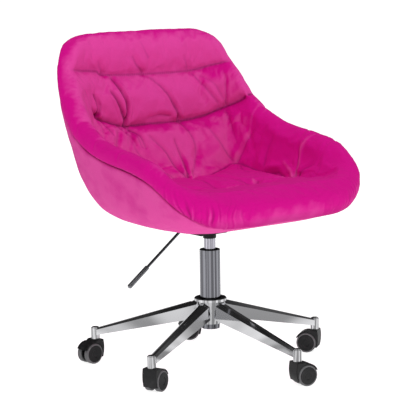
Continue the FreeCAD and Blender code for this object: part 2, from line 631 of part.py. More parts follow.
def make_wheel_and_tread(number, side, letter):
    """A cup-shaped wheel, open towards the web, and the softer tread around it."""
    rim = "(wheel_radius - tread_depth)"
    wheel = revolve("caster_wheel_%d%s" % (number, letter), [
        ("axle_radius + running_clearance", "wheel_inner_face"),
        ("wheel_hub_radius", "wheel_inner_face"),
        ("wheel_hub_radius", "wheel_outer_face - wheel_disc"),
        (rim + " - 3", "wheel_outer_face - wheel_disc"), (rim + " - 3", "wheel_inner_face"),
        (rim, "wheel_inner_face"), (rim, "wheel_outer_face - 1"), (rim + " - 1", "wheel_outer_face"),
        ("wheel_hub_radius + 2.5", "wheel_outer_face"), ("wheel_hub_radius + 1", "wheel_outer_face - 1"),
        ("0", "wheel_outer_face - 1"), ("0", "wheel_outer_face - 1.8"),
        ("axle_radius + running_clearance", "wheel_outer_face - 1.8")])
    tread = revolve("caster_tread_%d%s" % (number, letter), [
        (rim, "wheel_inner_face + tread_inset"),
        ("wheel_radius - 1.2", "wheel_inner_face + tread_inset"),
        ("wheel_radius", "wheel_inner_face + tread_inset + 1.2"),
        ("wheel_radius", "wheel_outer_face - tread_inset - 1.8"),
        ("wheel_radius - 1.8", "wheel_outer_face - tread_inset"),
        (rim, "wheel_outer_face - tread_inset")])
    for body in (wheel, tread):
        set_under_leg(body, number - 1, Vector(dim("wheel_trail"), 0, dim("wheel_radius")),
                      FreeCAD.Rotation(Vector(1, 0, 0), -90 * side))


# ---------------------------------------------------------------------------------------------
# Bucket: a moulded shell between an inner cushion, which rolls over the rim, and an outer cover
# ---------------------------------------------------------------------------------------------
# Half of the rim's crest, from the middle of the front edge to the middle of the top edge. Each
# station has its share of the half width, of the reach to the front (-) or back (+), and of the
# rise from the front edge to the top; the rim's lean from level, in degrees; the rim's half
# thickness on the sitter's side and outside; and how far out the seat and the underside run
# level, as shares of the distance to the rim.
STATIONS = [
    (0.00, -1.00, 0.00, 0, 38, 30, 0.45, 0.70),
    (0.40, -0.99, 0.00, 2, 38, 30, 0.45, 0.70),
    (0.71, -0.92, 0.03, 14, 37, 30, 0.48, 0.72),
    (0.92, -0.76, 0.15, 50, 34, 24, 0.56, 0.82),
    (0.99, -0.50, 0.29, 70, 32, 18, 0.62, 0.90),
    (1.00, -0.26, 0.34, 76, 30, 14, 0.64, 0.92),
    (0.99, 0.07, 0.38, 77, 30, 14, 0.64, 0.92),
    (0.98, 0.35, 0.45, 77, 30, 14, 0.64, 0.90),
    (0.96, 0.56, 0.57, 78, 30, 14, 0.62, 0.86),
    (0.90, 0.76, 0.77, 80, 30, 12, 0.60, 0.83),
    (0.80, 0.87, 0.93, 81, 30, 12, 0.59, 0.81),
    (0.63, 0.95, 0.99, 82, 32, 12, 0.59, 0.81),
    (0.34, 0.99, 1.00, 80, 32, 12, 0.60, 0.82),
    (0.00, 1.00, 1.00, 79, 32, 12, 0.60, 0.82),
]
SPOKES = 72
BOWL_STEPS = [0, 0.14, 0.28, 0.42, 0.56, 0.68, 0.8, 0.91, 1]
ROLL_STEPS = [0, 0.25, 0.5, 0.75, 1]
PULL_BASE = 45
INNER_PULL = 0.53
OUTER_PULL = 0.62


def cubic(points, share):
    rest = 1 - share
    return (points[0] * rest ** 3 + points[1] * (3 * rest ** 2 * share)
            + points[2] * (3 * rest * share ** 2) + points[3] * share ** 3)


def rim_stations():
    """Each spoke's crest point, three form values and two reaches, smooth all round the rim."""
    rows = STATIONS + [(-row[0],) + row[1:] for row in STATIONS[-2:0:-1]]
    low, high = dim("front_edge_height"), dim("back_top_height")
    crest = []
    for row in rows:
        reach = dim("bucket_back_reach") if row[1] > 0 else dim("bucket_front_reach")
        crest.append(Vector(row[0] * dim("bucket_half_width"), row[1] * reach,
                            low + row[2] * (high - low)))
    forms = [Vector(row[3], row[4], row[5]) for row in rows]
    reaches = [Vector(row[6], row[7], 0) for row in rows]
    count = len(rows)
    spans = [(crest[(index + 1) % count] - crest[index]).Length for index in range(count)]
    spokes = []
    for number in range(SPOKES):
        way = sum(spans) * number / SPOKES
        index = 0
        while way > spans[index]:
            way -= spans[index]
            index += 1
        share = way / spans[index]
        spokes.append([loop_value(track, spans, index, share)
                       for track in (crest, forms, reaches)])
    return spokes


def loop_value(track, spans, index, share):
    """A smooth curve through a closed track of values, at a share of the span after index."""
    count = len(track)
    before, start = track[index - 1], track[index]
    end, after = track[(index + 1) % count], track[(index + 2) % count]
    span, last, following = spans[index], spans[index - 1], spans[(index + 1) % count]
    start_slope = (end - before) * (span / (span + last))
    end_slope = (after - start) * (span / (span + following))
    return cubic([start, start + start_slope / 3, end - end_slope / 3, end], share)


class Spoke:
    """One radial cut through the bucket, from the middle of the seat to the rim."""

    def __init__(self, crest, form, reach):
        middle = Vector(0, dim("bucket_centre_y"), 0)
        flat = Vector(crest.x, crest.y, 0) - middle
        self.out = Vector(flat).normalize()
        self.crest = crest
        lean = math.radians(form.x)
        self.edge = self.out * math.cos(lean) + UP * math.sin(lean)
        self.inward = UP * math.cos(lean) - self.out * math.sin(lean)
        self.inner_half, self.outer_half = form.y, form.z
        seat = middle + UP * dim("seat_top_height")
        under = middle + UP * dim("underside_height")
        self.inner_end = (crest - self.edge * dim("rim_inner_depth")
                          + self.inward * self.inner_half)
        self.outer_end = (crest - self.edge * dim("rim_outer_depth")
                          - self.inward * self.outer_half)
        start = self.out * dim("seat_flat_radius")
        inner_pull = PULL_BASE + INNER_PULL * max(0, crest.z - seat.z)
        outer_pull = PULL_BASE + OUTER_PULL * max(0, crest.z - seat.z)
        self.inner = [seat + start, seat + self.out * (reach.x * flat.Length),
                      self.inner_end - self.edge * inner_pull, self.inner_end]
        self.outer = [under + start, under + self.out * (reach.y * flat.Length),
                      self.outer_end - self.edge * outer_pull, self.outer_end]

    def seat_point(self, share):
        return cubic(self.inner, share)

    def layer_point(self, share, depth):
        """A point at a depth inside the underside, towards the sitter."""
        outer = cubic(self.outer, share)
        across = self.seat_point(share) - outer
        return outer + across.normalize() * depth

    def roll_point(self, share):
        """A point on the rolled rim: 0 on the sitter's side, 1 at the crest, 2 outside."""
        turn = math.radians(90 * min(share, 2 - share))
        outside = share > 1
        depth = dim("rim_outer_depth") if outside else dim("rim_inner_depth")
        half = -self.outer_half if outside else self.inner_half
        return (self.crest - self.edge * (depth * (1 - math.sin(turn)))
                + self.inward * (half * math.cos(turn)))


def ring(points):
    curve = Part.BSplineCurve()
    curve.interpolate(Points=points, PeriodicFlag=True)
    return Part.Wire([curve.toShape()])


def skin(wires, ruled=False):
    return Part.makeLoft(wires, False, ruled).Faces


def closed_solid(faces):
    shell = Part.makeCompound(faces)
    shell.sewShape(0.01)
    solid = Part.makeSolid(shell.Shells[0] if shell.Shells else Part.makeShell(shell.Faces))
    if solid.Volume < 0:
        solid.reverse()
    return solid


def bolt_holes(radius):
    """Upright cylinders through the whole seat at the four bolts."""
    tools = []
    for x_text, y_text in BOLT_SPOTS:
        foot = Vector(size(x_text), size(y_text), dim("underside_height") - 1)
        tools.append(Part.makeCylinder(radius, dim("cover_thickness") + dim("shell_thickness")
                                       + dim("layer_gap") + 2, foot))
    return tools


def add_shape(label, shape):
    item = doc.addObject("Part::Feature", label)
    item.Label = label
    item.Shape = shape
    item.Placement = FreeCAD.Placement()


def make_layer(spokes, label, low, high, edge_share, hole_radius):
    """A bowl between two depths, which stops at a share of the way to the rim."""
    steps = [step * edge_share for step in BOWL_STEPS]
    under = [ring([spoke.layer_point(step, low) for spoke in spokes]) for step in steps]
    over = [ring([spoke.layer_point(step, high) for spoke in spokes]) for step in steps]
    faces = skin(under) + skin(over) + skin([under[-1], over[-1]], ruled=True)
    faces += [Part.Face(under[0]), Part.Face(over[0])]
    add_shape(label, closed_solid(faces).cut(bolt_holes(hole_radius)))


def make_bucket():
    spokes = [Spoke(*values) for values in rim_stations()]
    cover = dim("cover_thickness")
    shell_low = cover + dim("layer_gap")
    shell_high = shell_low + dim("shell_thickness")
    hole = dim("bolt_radius") + dim("bolt_hole_clearance")
    make_layer(spokes, "outer_cover", 0, cover, 1, hole)
    make_layer(spokes, "seat_shell", shell_low, shell_high, dim("shell_edge_share"),
               dim("nut_barrel_radius"))
    cushion_low = shell_high + dim("layer_gap")
    seat = [ring([spoke.seat_point(step) for spoke in spokes]) for step in BOWL_STEPS]
    roll_in = [ring([spoke.roll_point(step) for spoke in spokes]) for step in ROLL_STEPS]
    gap = dim("layer_gap")
    roll_out = [ring([spoke.roll_point(2 - step) + spoke.edge * gap for spoke in spokes])
                for step in ROLL_STEPS[:-1]]
    roll_out.append(roll_in[-1])
    lining = [ring([spoke.layer_point(step, cushion_low) for spoke in spokes])
              for step in BOWL_STEPS[:-1]]
    lining.append(ring([spoke.layer_point(1, cushion_low) + spoke.edge * gap
                        for spoke in spokes]))
    faces = skin(seat) + skin(roll_in) + skin(roll_out) + skin(lining)
    faces += skin([roll_out[0], lining[-1]], ruled=True)
    faces += [Part.Face(seat[0]), Part.Face(lining[0])]
    recesses = []
    for x_text, y_text in BOLT_SPOTS:
        foot = Vector(size(x_text), size(y_text), dim("underside_height") + cushion_low - 1)
        recesses.append(Part.makeCylinder(dim("nut_flange_radius") + gap,
                                          dim("nut_flange_thickness") + 1 + gap, foot))
    add_shape("inner_cushion", closed_solid(faces).cut(recesses))


# ---------------------------------------------------------------------------------------------
# Build, check and write
# ---------------------------------------------------------------------------------------------
def make_chair():
    make_star_base()
    make_hub_ring()
    make_stand_tube()
    make_guide_bush()
    make_thrust_bearing()
    make_piston_rod()
    make_retaining_clip()
    make_bumper()
    make_gas_cylinder()
    make_release_pin()
    make_taper_socket()
    make_seat_plate()
    make_mechanism_bracket()
    make_lever_pivot_pin()
    make_seat_washers()
    make_seat_bolts()
    make_tee_nuts()
    make_lever_rod()
    make_lever_grip()
    for number in range(1, 6):
        make_caster_stem(number)
        make_caster_hood(number)
        make_caster_axle(number)
        make_wheel_and_tread(number, 1, "a")
        make_wheel_and_tread(number, -1, "b")
    make_bucket()


def sub_parts():
    return [item for item in doc.Objects
            if item.TypeId == "PartDesign::Body"
            or (item.TypeId == "Part::Feature" and item.getParentGeoFeatureGroup() is None)]


def check_document():
    for item in doc.Objects:
        if "Invalid" in item.State or "Error" in item.State:
            raise RuntimeError("%s did not recompute: %s" % (item.Label, item.State))
    for item in sub_parts():
        if item.Shape.isNull() or not item.Shape.isValid():
            raise RuntimeError("%s has no valid shape" % item.Label)


make_chair()
doc.recompute()
check_document()
os.makedirs("parts", exist_ok=True)
for part in sub_parts():
    part.Shape.exportStep("parts/%s.step" % part.Label)
    print("%-22s %10.1f mm3  %d solid(s)"
          % (part.Label, part.Shape.Volume, len(part.Shape.Solids)))
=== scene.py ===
"""Styling chair: a tufted velvet bucket seat on a gas lift and a chromed five-legged base."""
import math

import bpy
import numpy as np
from mathutils import Matrix, Vector
from mathutils.kdtree import KDTree


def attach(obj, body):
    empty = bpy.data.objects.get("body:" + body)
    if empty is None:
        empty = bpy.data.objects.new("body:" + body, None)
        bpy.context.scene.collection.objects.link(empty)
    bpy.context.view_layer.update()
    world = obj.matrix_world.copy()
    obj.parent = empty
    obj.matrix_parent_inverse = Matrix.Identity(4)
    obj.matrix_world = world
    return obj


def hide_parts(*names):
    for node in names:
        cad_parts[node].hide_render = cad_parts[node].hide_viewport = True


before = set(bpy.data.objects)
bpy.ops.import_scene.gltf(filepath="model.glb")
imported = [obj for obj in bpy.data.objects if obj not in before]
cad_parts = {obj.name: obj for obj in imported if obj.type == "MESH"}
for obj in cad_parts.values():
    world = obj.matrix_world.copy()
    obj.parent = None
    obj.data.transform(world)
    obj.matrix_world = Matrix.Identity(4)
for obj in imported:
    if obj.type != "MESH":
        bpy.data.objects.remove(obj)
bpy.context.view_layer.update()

bl_info = {
    "name": "Styling chair",
    "version": (1, 0, 0),
    "blender": (4, 5, 0),
    "location": "3D View > Sidebar > Styling chair",
    "description": "Upholsters and finishes a styling chair around its packed frame",
    "category": "Object",
}

# ---------------------------------------------------------------------------------------------
# Bucket form, in metres, as the frame's cushion and cover have it
# ---------------------------------------------------------------------------------------------
HALF_WIDTH = 0.298
FRONT_REACH = 0.302
BACK_REACH = 0.300
FRONT_EDGE = 0.418
BACK_TOP = 0.801
SEAT_TOP = 0.449
UNDERSIDE = 0.359
CENTRE_Y = -0.010
FLAT_RADIUS = 0.110
RIM_INNER_DEPTH = 0.030
RIM_OUTER_DEPTH = 0.034
PULL_BASE = 0.045
INNER_PULL = 0.53
OUTER_PULL = 0.62
# Half of the rim's crest, from the middle of the front edge to the middle of the top edge: share
# of the half width, of the reach to the front (-) or back (+), and of the rise; the rim's lean
# from level in degrees; its half thickness on the sitter's side and outside, in millimetres; and
# how far out the seat and the underside run level, as shares of the distance to the rim.
STATIONS = [
    (0.00, -1.00, 0.00, 0, 38, 30, 0.45, 0.70),
    (0.40, -0.99, 0.00, 2, 38, 30, 0.45, 0.70),
    (0.71, -0.92, 0.03, 14, 37, 30, 0.48, 0.72),
    (0.92, -0.76, 0.15, 50, 34, 24, 0.56, 0.82),
    (0.99, -0.50, 0.29, 70, 32, 18, 0.62, 0.90),
    (1.00, -0.26, 0.34, 76, 30, 14, 0.64, 0.92),
    (0.99, 0.07, 0.38, 77, 30, 14, 0.64, 0.92),
    (0.98, 0.35, 0.45, 77, 30, 14, 0.64, 0.90),
    (0.96, 0.56, 0.57, 78, 30, 14, 0.62, 0.86),
    (0.90, 0.76, 0.77, 80, 30, 12, 0.60, 0.83),
    (0.80, 0.87, 0.93, 81, 30, 12, 0.59, 0.81),
    (0.63, 0.95, 0.99, 82, 32, 12, 0.59, 0.81),
    (0.34, 0.99, 1.00, 80, 32, 12, 0.60, 0.82),
    (0.00, 1.00, 1.00, 79, 32, 12, 0.60, 0.82),
]
UP = np.array([0.0, 0.0, 1.0])


def cubic(points, share):
    rest = 1 - share
    return (points[0] * rest ** 3 + points[1] * (3 * rest ** 2 * share)
            + points[2] * (3 * rest * share ** 2) + points[3] * share ** 3)


def rim_values(count):
    """The stations' values at even steps round the rim, on a smooth closed curve."""
    rows = STATIONS + [(-row[0],) + row[1:] for row in STATIONS[-2:0:-1]]
    table = np.array(rows, float)
    reach = np.where(table[:, 1] > 0, BACK_REACH, FRONT_REACH)
    table[:, 0] *= HALF_WIDTH
    table[:, 1] *= reach
    table[:, 2] = FRONT_EDGE + table[:, 2] * (BACK_TOP - FRONT_EDGE)
    after = np.roll(table, -1, axis=0)
    span = np.linalg.norm(after[:, :3] - table[:, :3], axis=1)
    slope_out = (after - np.roll(table, 1, axis=0)) / (span + np.roll(span, 1))[:, None]
    slope_in = np.roll(slope_out, -1, axis=0)
    way = np.arange(count) * span.sum() / count
    ends = np.cumsum(span)
    index = np.searchsorted(ends, way, side="right")
    share = ((way - ends[index] + span[index]) / span[index])[:, None]
    reach = span[index][:, None] / 3
    return cubic([table[index], table[index] + slope_out[index] * reach,
                  after[index] - slope_in[index] * reach, after[index]], share)


def unit(vectors):
    return vectors / np.linalg.norm(vectors, axis=-1, keepdims=True)


class Bucket:
    """Radial cuts through the bucket, from the middle of the seat to the rim."""

    def __init__(self, count):
        values = rim_values(count)
        self.crest = values[:, :3]
        middle = np.array([0, CENTRE_Y, 0])
        flat = self.crest * (1, 1, 0) - middle
        length = np.linalg.norm(flat, axis=1)[:, None]
        self.out = flat / length
        lean = np.radians(values[:, 3])[:, None]
        self.edge = self.out * np.cos(lean) + UP * np.sin(lean)
        self.inward = UP * np.cos(lean) - self.out * np.sin(lean)
        self.inner_half = values[:, 4:5] / 1000
        self.outer_half = values[:, 5:6] / 1000
        self.seat_middle = middle + UP * SEAT_TOP
        self.under_middle = middle + UP * UNDERSIDE
        inner_end = self.crest - self.edge * RIM_INNER_DEPTH + self.inward * self.inner_half
        outer_end = self.crest - self.edge * RIM_OUTER_DEPTH - self.inward * self.outer_half
        rise = np.maximum(0, self.crest[:, 2:] - SEAT_TOP)
        start = self.out * FLAT_RADIUS
        self.inner = [self.seat_middle + start,
                      self.seat_middle + self.out * values[:, 6:7] * length,
                      inner_end - self.edge * (PULL_BASE + INNER_PULL * rise), inner_end]
        self.outer = [self.under_middle + start,
                      self.under_middle + self.out * values[:, 7:8] * length,
                      outer_end - self.edge * (PULL_BASE + OUTER_PULL * rise), outer_end]

    def seat(self, share):
        """A ring on the sitter's side: 0 at the edge of the flat middle, 1 at the rim."""
        return cubic(self.inner, share)

    def layer(self, share, depth):
        """A ring at a depth inside the underside, towards the sitter."""
        outer = cubic(self.outer, share)
        return outer + unit(self.seat(share) - outer) * depth

    def roll(self, share):
        """A ring on the rolled rim: 0 on the sitter's side, 1 at the crest, 2 outside."""
        turn = math.radians(90 * min(share, 2 - share))
        depth = RIM_OUTER_DEPTH if share > 1 else RIM_INNER_DEPTH
        half = -self.outer_half if share > 1 else self.inner_half
        return (self.crest - self.edge * (depth * (1 - math.sin(turn)))
                + self.inward * (half * math.cos(turn)))

    def disc(self, middle, share):
        """A ring in the flat middle of the seat or the underside."""
        return middle + self.out * (FLAT_RADIUS * share)


# ---------------------------------------------------------------------------------------------
# Mesh helpers
# ---------------------------------------------------------------------------------------------
def add_object(name, mesh):
    item = bpy.data.objects.new(name, mesh)
    bpy.context.scene.collection.objects.link(item)
    return item


def ringed_mesh(name, rings, start, end):
    """A closed skin through rings of equal length, with a point at each end."""
    count = len(rings[0])
    points = np.vstack([start[None, :]] + rings + [end[None, :]])
    faces = []
    last = len(points) - 1
    for number in range(count):
        following = (number + 1) % count
        faces.append((0, 1 + number, 1 + following))
        for level in range(len(rings) - 1):
            low = 1 + level * count
            faces.append((low + number, low + count + number,
                          low + count + following, low + following))
        low = 1 + (len(rings) - 1) * count
        faces.append((low + number, last, low + following))
    mesh = bpy.data.meshes.new(name)
    mesh.from_pydata(points.tolist(), [], faces)
    mesh.validate()
    return mesh


def positions(mesh):
    values = np.empty(len(mesh.vertices) * 3)
    mesh.vertices.foreach_get("co", values)
    return values.reshape(-1, 3)


def set_positions(mesh, points):
    mesh.vertices.foreach_set("co", points.ravel())
    mesh.update()


def normals(mesh):
    values = np.empty(len(mesh.vertices) * 3)
    mesh.vertex_normals.foreach_get("vector", values)
    return values.reshape(-1, 3)


def applied(item):
    """The object's mesh with its modifiers applied, in place of the old one."""
    view = bpy.context.evaluated_depsgraph_get()
    mesh = bpy.data.meshes.new_from_object(item.evaluated_get(view))
    item.modifiers.clear()
    old = item.data
    item.data = mesh
    bpy.data.meshes.remove(old)
    return mesh


def smooth_shaded(mesh):
    mesh.polygons.foreach_set("use_smooth", [True] * len(mesh.polygons))


def add_value(mesh, name, values):
    """A value from 0 to 1 at each vertex, kept with the mesh as it is refined."""
    layer = mesh.attributes.new(name, "FLOAT", "POINT")
    layer.data.foreach_set("value", np.clip(values, 0, 1).astype(np.float32))


def read_value(mesh, name):
    values = np.empty(len(mesh.vertices))
    mesh.attributes[name].data.foreach_get("value", values)
    return values


def drift(points, size, seed, waves=9):
    """Smooth random values between about -1 and 1 that change over the given size."""
    random = np.random.default_rng(seed)
    total = np.zeros(len(points))
    for _ in range(waves):
        way = unit(random.normal(size=3))
        turns = points @ way / size * random.uniform(0.6, 1.4)
        total += np.sin(2 * math.pi * (turns + random.uniform()))
    return total / math.sqrt(waves)


# ---------------------------------------------------------------------------------------------
# Seams, tufts and folds of the inner cushion
# ---------------------------------------------------------------------------------------------
class Crease:
    """A line on the cushion's face that the cloth is drawn down to."""

    def __init__(self, face, face_normals, guide, depth, width, end_depth=None, bank=0.0):
        guide = np.array([TUFTS[spot] if isinstance(spot, str) else spot for spot in guide])
        steps = np.linspace(0, len(guide) - 1, CREASE_STEPS * (len(guide) - 1) + 1)
        index = np.minimum(steps.astype(int), len(guide) - 2)
        share = (steps - index)[:, None]
        before = guide[np.maximum(index - 1, 0)]
        start, end = guide[index], guide[index + 1]
        after = guide[np.minimum(index + 2, len(guide) - 1)]
        line = cubic([start, start + (end - before) / 6, end - (after - start) / 6, end], share)
        nearest = [int(np.argmin(((face - spot) ** 2).sum(axis=1))) for spot in line]
        normal = face_normals[nearest]
        gap = ((face[nearest] - line) * normal).sum(axis=1, keepdims=True)
        self.line = line + normal * gap
        self.normal = normal
        self.depth, self.width = depth, width
        self.end_depth = depth if end_depth is None else end_depth
        self.bank = bank

    def measure(self, points, reach):
        """Which points lie within reach of the line, how far off, and how far along."""
        low, high = self.line.min(axis=0) - reach, self.line.max(axis=0) + reach
        near = np.flatnonzero(((points > low) & (points < high)).all(axis=1))
        away = np.full(len(near), reach * 2)
        along = np.zeros(len(near))
        for number, (spot, normal) in enumerate(zip(self.line, self.normal)):
            offset = points[near] - spot
            height = offset @ normal
            across = np.sqrt(np.maximum((offset ** 2).sum(axis=1) - height ** 2, 0))
            across[np.abs(height) > CLOTH_THICKNESS] = reach * 2
            closer = across < away
            away[closer] = across[closer]
            along[closer] = number / (len(self.line) - 1)
        return near, away, along

    def draw_down(self, points, lift):
        """Lowers the points near the line. Returns them, how far off they are, and the pull."""
        near, away, along = self.measure(points, self.width * 5)
        depth = self.depth + (self.end_depth - self.depth) * along
        pull = depth * np.clip(np.minimum(along, 1 - along) / END_SHARE + END_PULL, 0, 1)
        valley = np.exp(-away / self.width)
        bank = np.exp(-((away - 2.1 * self.width) / self.width) ** 2)
        lift[near] += pull * (self.bank * bank - valley)
        return near, away, pull


def paint_crease_shade_and_highlight(drawn, dark, light):
    """Paints shade down in a crease, or a highlight on a ridge, as values that the velvet reads."""
    near, away, pull = drawn
    shadow = np.clip(pull / DARKEST_DEPTH, 0, 1) * np.exp(-(away / CREASE_CORE) ** 2)
    crest = np.clip(-pull / LIGHTEST_HEIGHT, 0, 1) * np.exp(-(away / RIDGE_CORE) ** 2)
    dark[near] = np.maximum(dark[near], shadow)
    light[near] = np.maximum(light[near], crest)


CREASE_STEPS = 24
# How near an end a crease starts to fade, as a share of its length, and what it fades to.
END_SHARE = 0.12
END_PULL = 0.25
# A crease reaches only what lies this close above or below its line.
CLOTH_THICKNESS = 0.045
# Painted shade down in creases and painted highlights on ridges: how wide they run, and the depth
# and height where they are strongest.
CREASE_CORE = 0.0032
RIDGE_CORE = 0.0045
DARKEST_DEPTH = 0.011
LIGHTEST_HEIGHT = 0.005


# Tufts, laid out on a 5 mm grid. The sitter's right is -X.
TUFTS = {
    # on the upper seam of the back
    "upper_right": (-0.125, 0.250, 0.705),
    "upper_middle": (0.005, 0.245, 0.700),
    "upper_left": (0.140, 0.245, 0.700),
    # on the lower seam of the back
    "lower_far_right": (-0.165, 0.220, 0.605),
    "lower_right": (-0.085, 0.215, 0.580),
    "lower_left": (0.090, 0.215, 0.580),
    "lower_far_left": (0.215, 0.200, 0.605),
    # where the seat meets the back and the arms
    "back_middle": (0.010, 0.090, 0.450),
    "back_left": (0.185, 0.115, 0.475),
    "back_right": (-0.185, 0.115, 0.475),
    "side_left": (0.200, -0.080, 0.450),
    "side_right": (-0.200, -0.080, 0.450),
    # in the seat
    "front_left": (0.035, -0.135, 0.450),
    "front_right": (-0.060, -0.125, 0.450),
}
# Stitched seams: the tufts and points that they run through, depth and width.
SEAMS = [
    # two seams across the back
    (((-0.240, 0.220, 0.725), (-0.150, 0.250, 0.715), "upper_right", "upper_middle",
      "upper_left", (0.200, 0.235, 0.710), (0.250, 0.215, 0.720)), 0.008, 0.007),
    (((-0.180, 0.215, 0.615), "lower_far_right", (-0.125, 0.220, 0.590), "lower_right",
      (-0.020, 0.215, 0.580), "lower_left", (0.165, 0.210, 0.590), "lower_far_left",
      (0.250, 0.180, 0.620), (0.285, 0.165, 0.635)), 0.016, 0.009),
    # back to seat, and down each side of the seat
    (("side_right", (-0.205, -0.020, 0.455), (-0.200, 0.045, 0.460), "back_right",
      (-0.100, 0.110, 0.460), "back_middle", (0.110, 0.110, 0.460), "back_left",
      (0.200, 0.045, 0.460), (0.205, -0.020, 0.455), "side_left"), 0.009, 0.012),
]
# Free folds, each from one end to the other: the tufts and points that it runs through, depth,
# end depth and width. A negative depth stands proud.
FOLDS = [
    # upper back, seam to seam
    (((-0.105, 0.245, 0.700), (-0.075, 0.230, 0.630), "lower_right"), .008, .014, .0045),
    (((-0.120, 0.240, 0.665), (-0.100, 0.230, 0.630), (-0.085, 0.220, 0.590)), .006, .011, .0040),
    (((-0.175, 0.235, 0.660), (-0.165, 0.230, 0.635), "lower_far_right"), .006, .013, .0045),
    (((-0.190, 0.220, 0.630), (-0.180, 0.220, 0.620), "lower_far_right"), .002, .008, .0045),
    (((-0.160, 0.230, 0.650), (-0.155, 0.225, 0.630), (-0.160, 0.220, 0.610)), .001, .006, .0040),
    (((0.010, 0.245, 0.695), (0.060, 0.230, 0.635), "lower_left"), .004, .009, .0050),
    (((-0.020, 0.215, 0.590), (0.020, 0.220, 0.595), (0.060, 0.220, 0.590)), .001, .006, .0060),
    (((0.145, 0.245, 0.695), (0.170, 0.235, 0.660), (0.205, 0.205, 0.610)), .004, .003, .0050),
    (((0.160, 0.240, 0.690), (0.195, 0.220, 0.665), (0.220, 0.205, 0.620)), .001, .003, .0060),
    (((0.230, 0.220, 0.700), (0.225, 0.205, 0.645), (0.220, 0.195, 0.610)), .001, .005, .0045),
    # top panel, short folds above the first seam
    (((-0.145, 0.255, 0.740), (-0.135, 0.250, 0.720), "upper_right"), .001, .006, .0050),
    (((-0.040, 0.255, 0.745), (-0.025, 0.250, 0.720), (0.000, 0.245, 0.700)), .002, .007, .0070),
    (((-0.010, 0.265, 0.780), (0.000, 0.260, 0.755), (0.010, 0.255, 0.735)), .001, .003, .0080),
    (((0.120, 0.255, 0.740), (0.130, 0.250, 0.720), "upper_left"), .001, .004, .0070),
    # lower back, second seam to the seat
    (((-0.080, 0.215, 0.575), (-0.060, 0.205, 0.550), (-0.055, 0.185, 0.515)), .011, .002, .0050),
    (((-0.085, 0.210, 0.570), (-0.070, 0.205, 0.545), (-0.065, 0.190, 0.515)), .006, .002, .0040),
    (((-0.105, 0.215, 0.580), (-0.085, 0.205, 0.555), (-0.080, 0.190, 0.525)), .007, .002, .0045),
    (((-0.160, 0.220, 0.605), (-0.145, 0.215, 0.580), (-0.140, 0.205, 0.555)), .009, .002, .0050),
    (((-0.035, 0.205, 0.550), (0.000, 0.180, 0.500), (0.015, 0.100, 0.450)), .002, .008, .0065),
    (((0.040, 0.200, 0.535), (0.040, 0.155, 0.480), (0.020, 0.100, 0.450)), .003, .009, .0045),
    (("lower_left", (0.095, 0.175, 0.500), (0.040, 0.110, 0.455)), .005, .003, .0080),
    (((0.150, 0.210, 0.575), (0.165, 0.180, 0.525), (0.180, 0.120, 0.480)), .001, .006, .0070),
    (((0.215, 0.195, 0.600), (0.215, 0.170, 0.550), (0.210, 0.140, 0.505)), .005, .001, .0060),
    (((0.250, 0.105, 0.550), (0.230, 0.120, 0.520), "back_left"), .001, .005, .0070),
    (((0.260, 0.040, 0.540), (0.240, 0.050, 0.500), (0.205, 0.040, 0.465)), .001, .005, .0090),
    (((-0.110, 0.210, 0.575), (-0.150, 0.180, 0.525), "back_right"), .002, .006, .0060),
    (((-0.090, 0.215, 0.575), (-0.080, 0.170, 0.500), (-0.010, 0.100, 0.450)), .002, .004, .0070),
    (((-0.260, 0.080, 0.550), (-0.230, 0.110, 0.520), "back_right"), .002, .007, .0080),
    # seat, out of its tufts
    (((0.195, 0.030, 0.460), (0.210, -0.010, 0.460), (0.205, -0.045, 0.450)), .010, .003, .0060),
    (((0.235, -0.010, 0.480), (0.220, -0.050, 0.460), "side_left"), -.001, -.005, .0050),
    (("side_left", (0.260, -0.060, 0.510), (0.280, -0.080, 0.550)), -.005, -.002, .0045),
    (((0.210, -0.085, 0.455), (0.230, -0.100, 0.465), (0.245, -0.125, 0.480)), .008, .001, .0060),
    (((0.205, -0.080, 0.455), (0.240, -0.060, 0.490), (0.255, -0.050, 0.520)), .007, .001, .0050),
    (((0.100, -0.125, 0.450), (0.150, -0.100, 0.450), "side_left"), -.002, -.005, .0050),
    (((0.075, -0.095, 0.450), "front_left", (0.020, -0.160, 0.450)), .006, .003, .0070),
    (((-0.110, -0.170, 0.450), "front_right", (-0.010, -0.120, 0.450)), .001, .006, .0060),
    (((-0.100, -0.180, 0.450), (-0.065, -0.140, 0.450), (-0.015, -0.130, 0.450)),
     -.001, -.003, .0050),
    (((0.205, -0.090, 0.450), (0.195, -0.140, 0.450), (0.175, -0.190, 0.450)), .007, .001, .0080),
    (((0.190, 0.105, 0.475), (0.150, 0.040, 0.455), (0.150, -0.010, 0.450)), .006, .001, .0080),
    (("back_middle", (0.030, 0.020, 0.450), (0.035, -0.120, 0.450)), .006, .005, .0100),
    (("back_middle", (-0.030, 0.020, 0.450), (-0.060, -0.110, 0.450)), .005, .005, .0100),
    (("side_right", (-0.250, -0.065, 0.510), (-0.270, -0.080, 0.545)), .006, .001, .0060),
    (((-0.205, -0.090, 0.450), (-0.195, -0.150, 0.450), (-0.180, -0.200, 0.455)),
     .006, .001, .0080),
    (("side_right", (-0.140, -0.100, 0.450), "front_right"), .005, .004, .0080),
]
FOLD_BANK = 0.35
# Short pleats across the arms' rims: the side, and how far back.
RIM_PLEATS = [(-1, 0.125), (-1, 0.050), (-1, -0.045), (1, 0.120), (1, -0.040), (1, -0.130)]


# How far the cushion's underside lies above the outer cover's.
CUSHION_BED = 0.026
CLOTH_FRAMES = 20


def cushion_rings(bucket):
    """The cushion's skin, from the middle of the seat over the rim and back underneath."""
    rings = [bucket.disc(bucket.seat_middle, share) for share in np.linspace(0.06, 0.94, 14)]
    rings += [bucket.seat(share) for share in np.linspace(0, 0.985, 64)]
    rings += [bucket.roll(share) for share in np.linspace(0, 1.96, 22)]
    rings += [bucket.layer(share, CUSHION_BED) for share in np.linspace(0.95, 0, 40)]
    rings += [bucket.disc(bucket.under_middle + UP * CUSHION_BED, share)
              for share in (0.8, 0.6, 0.4, 0.2)]
    return rings


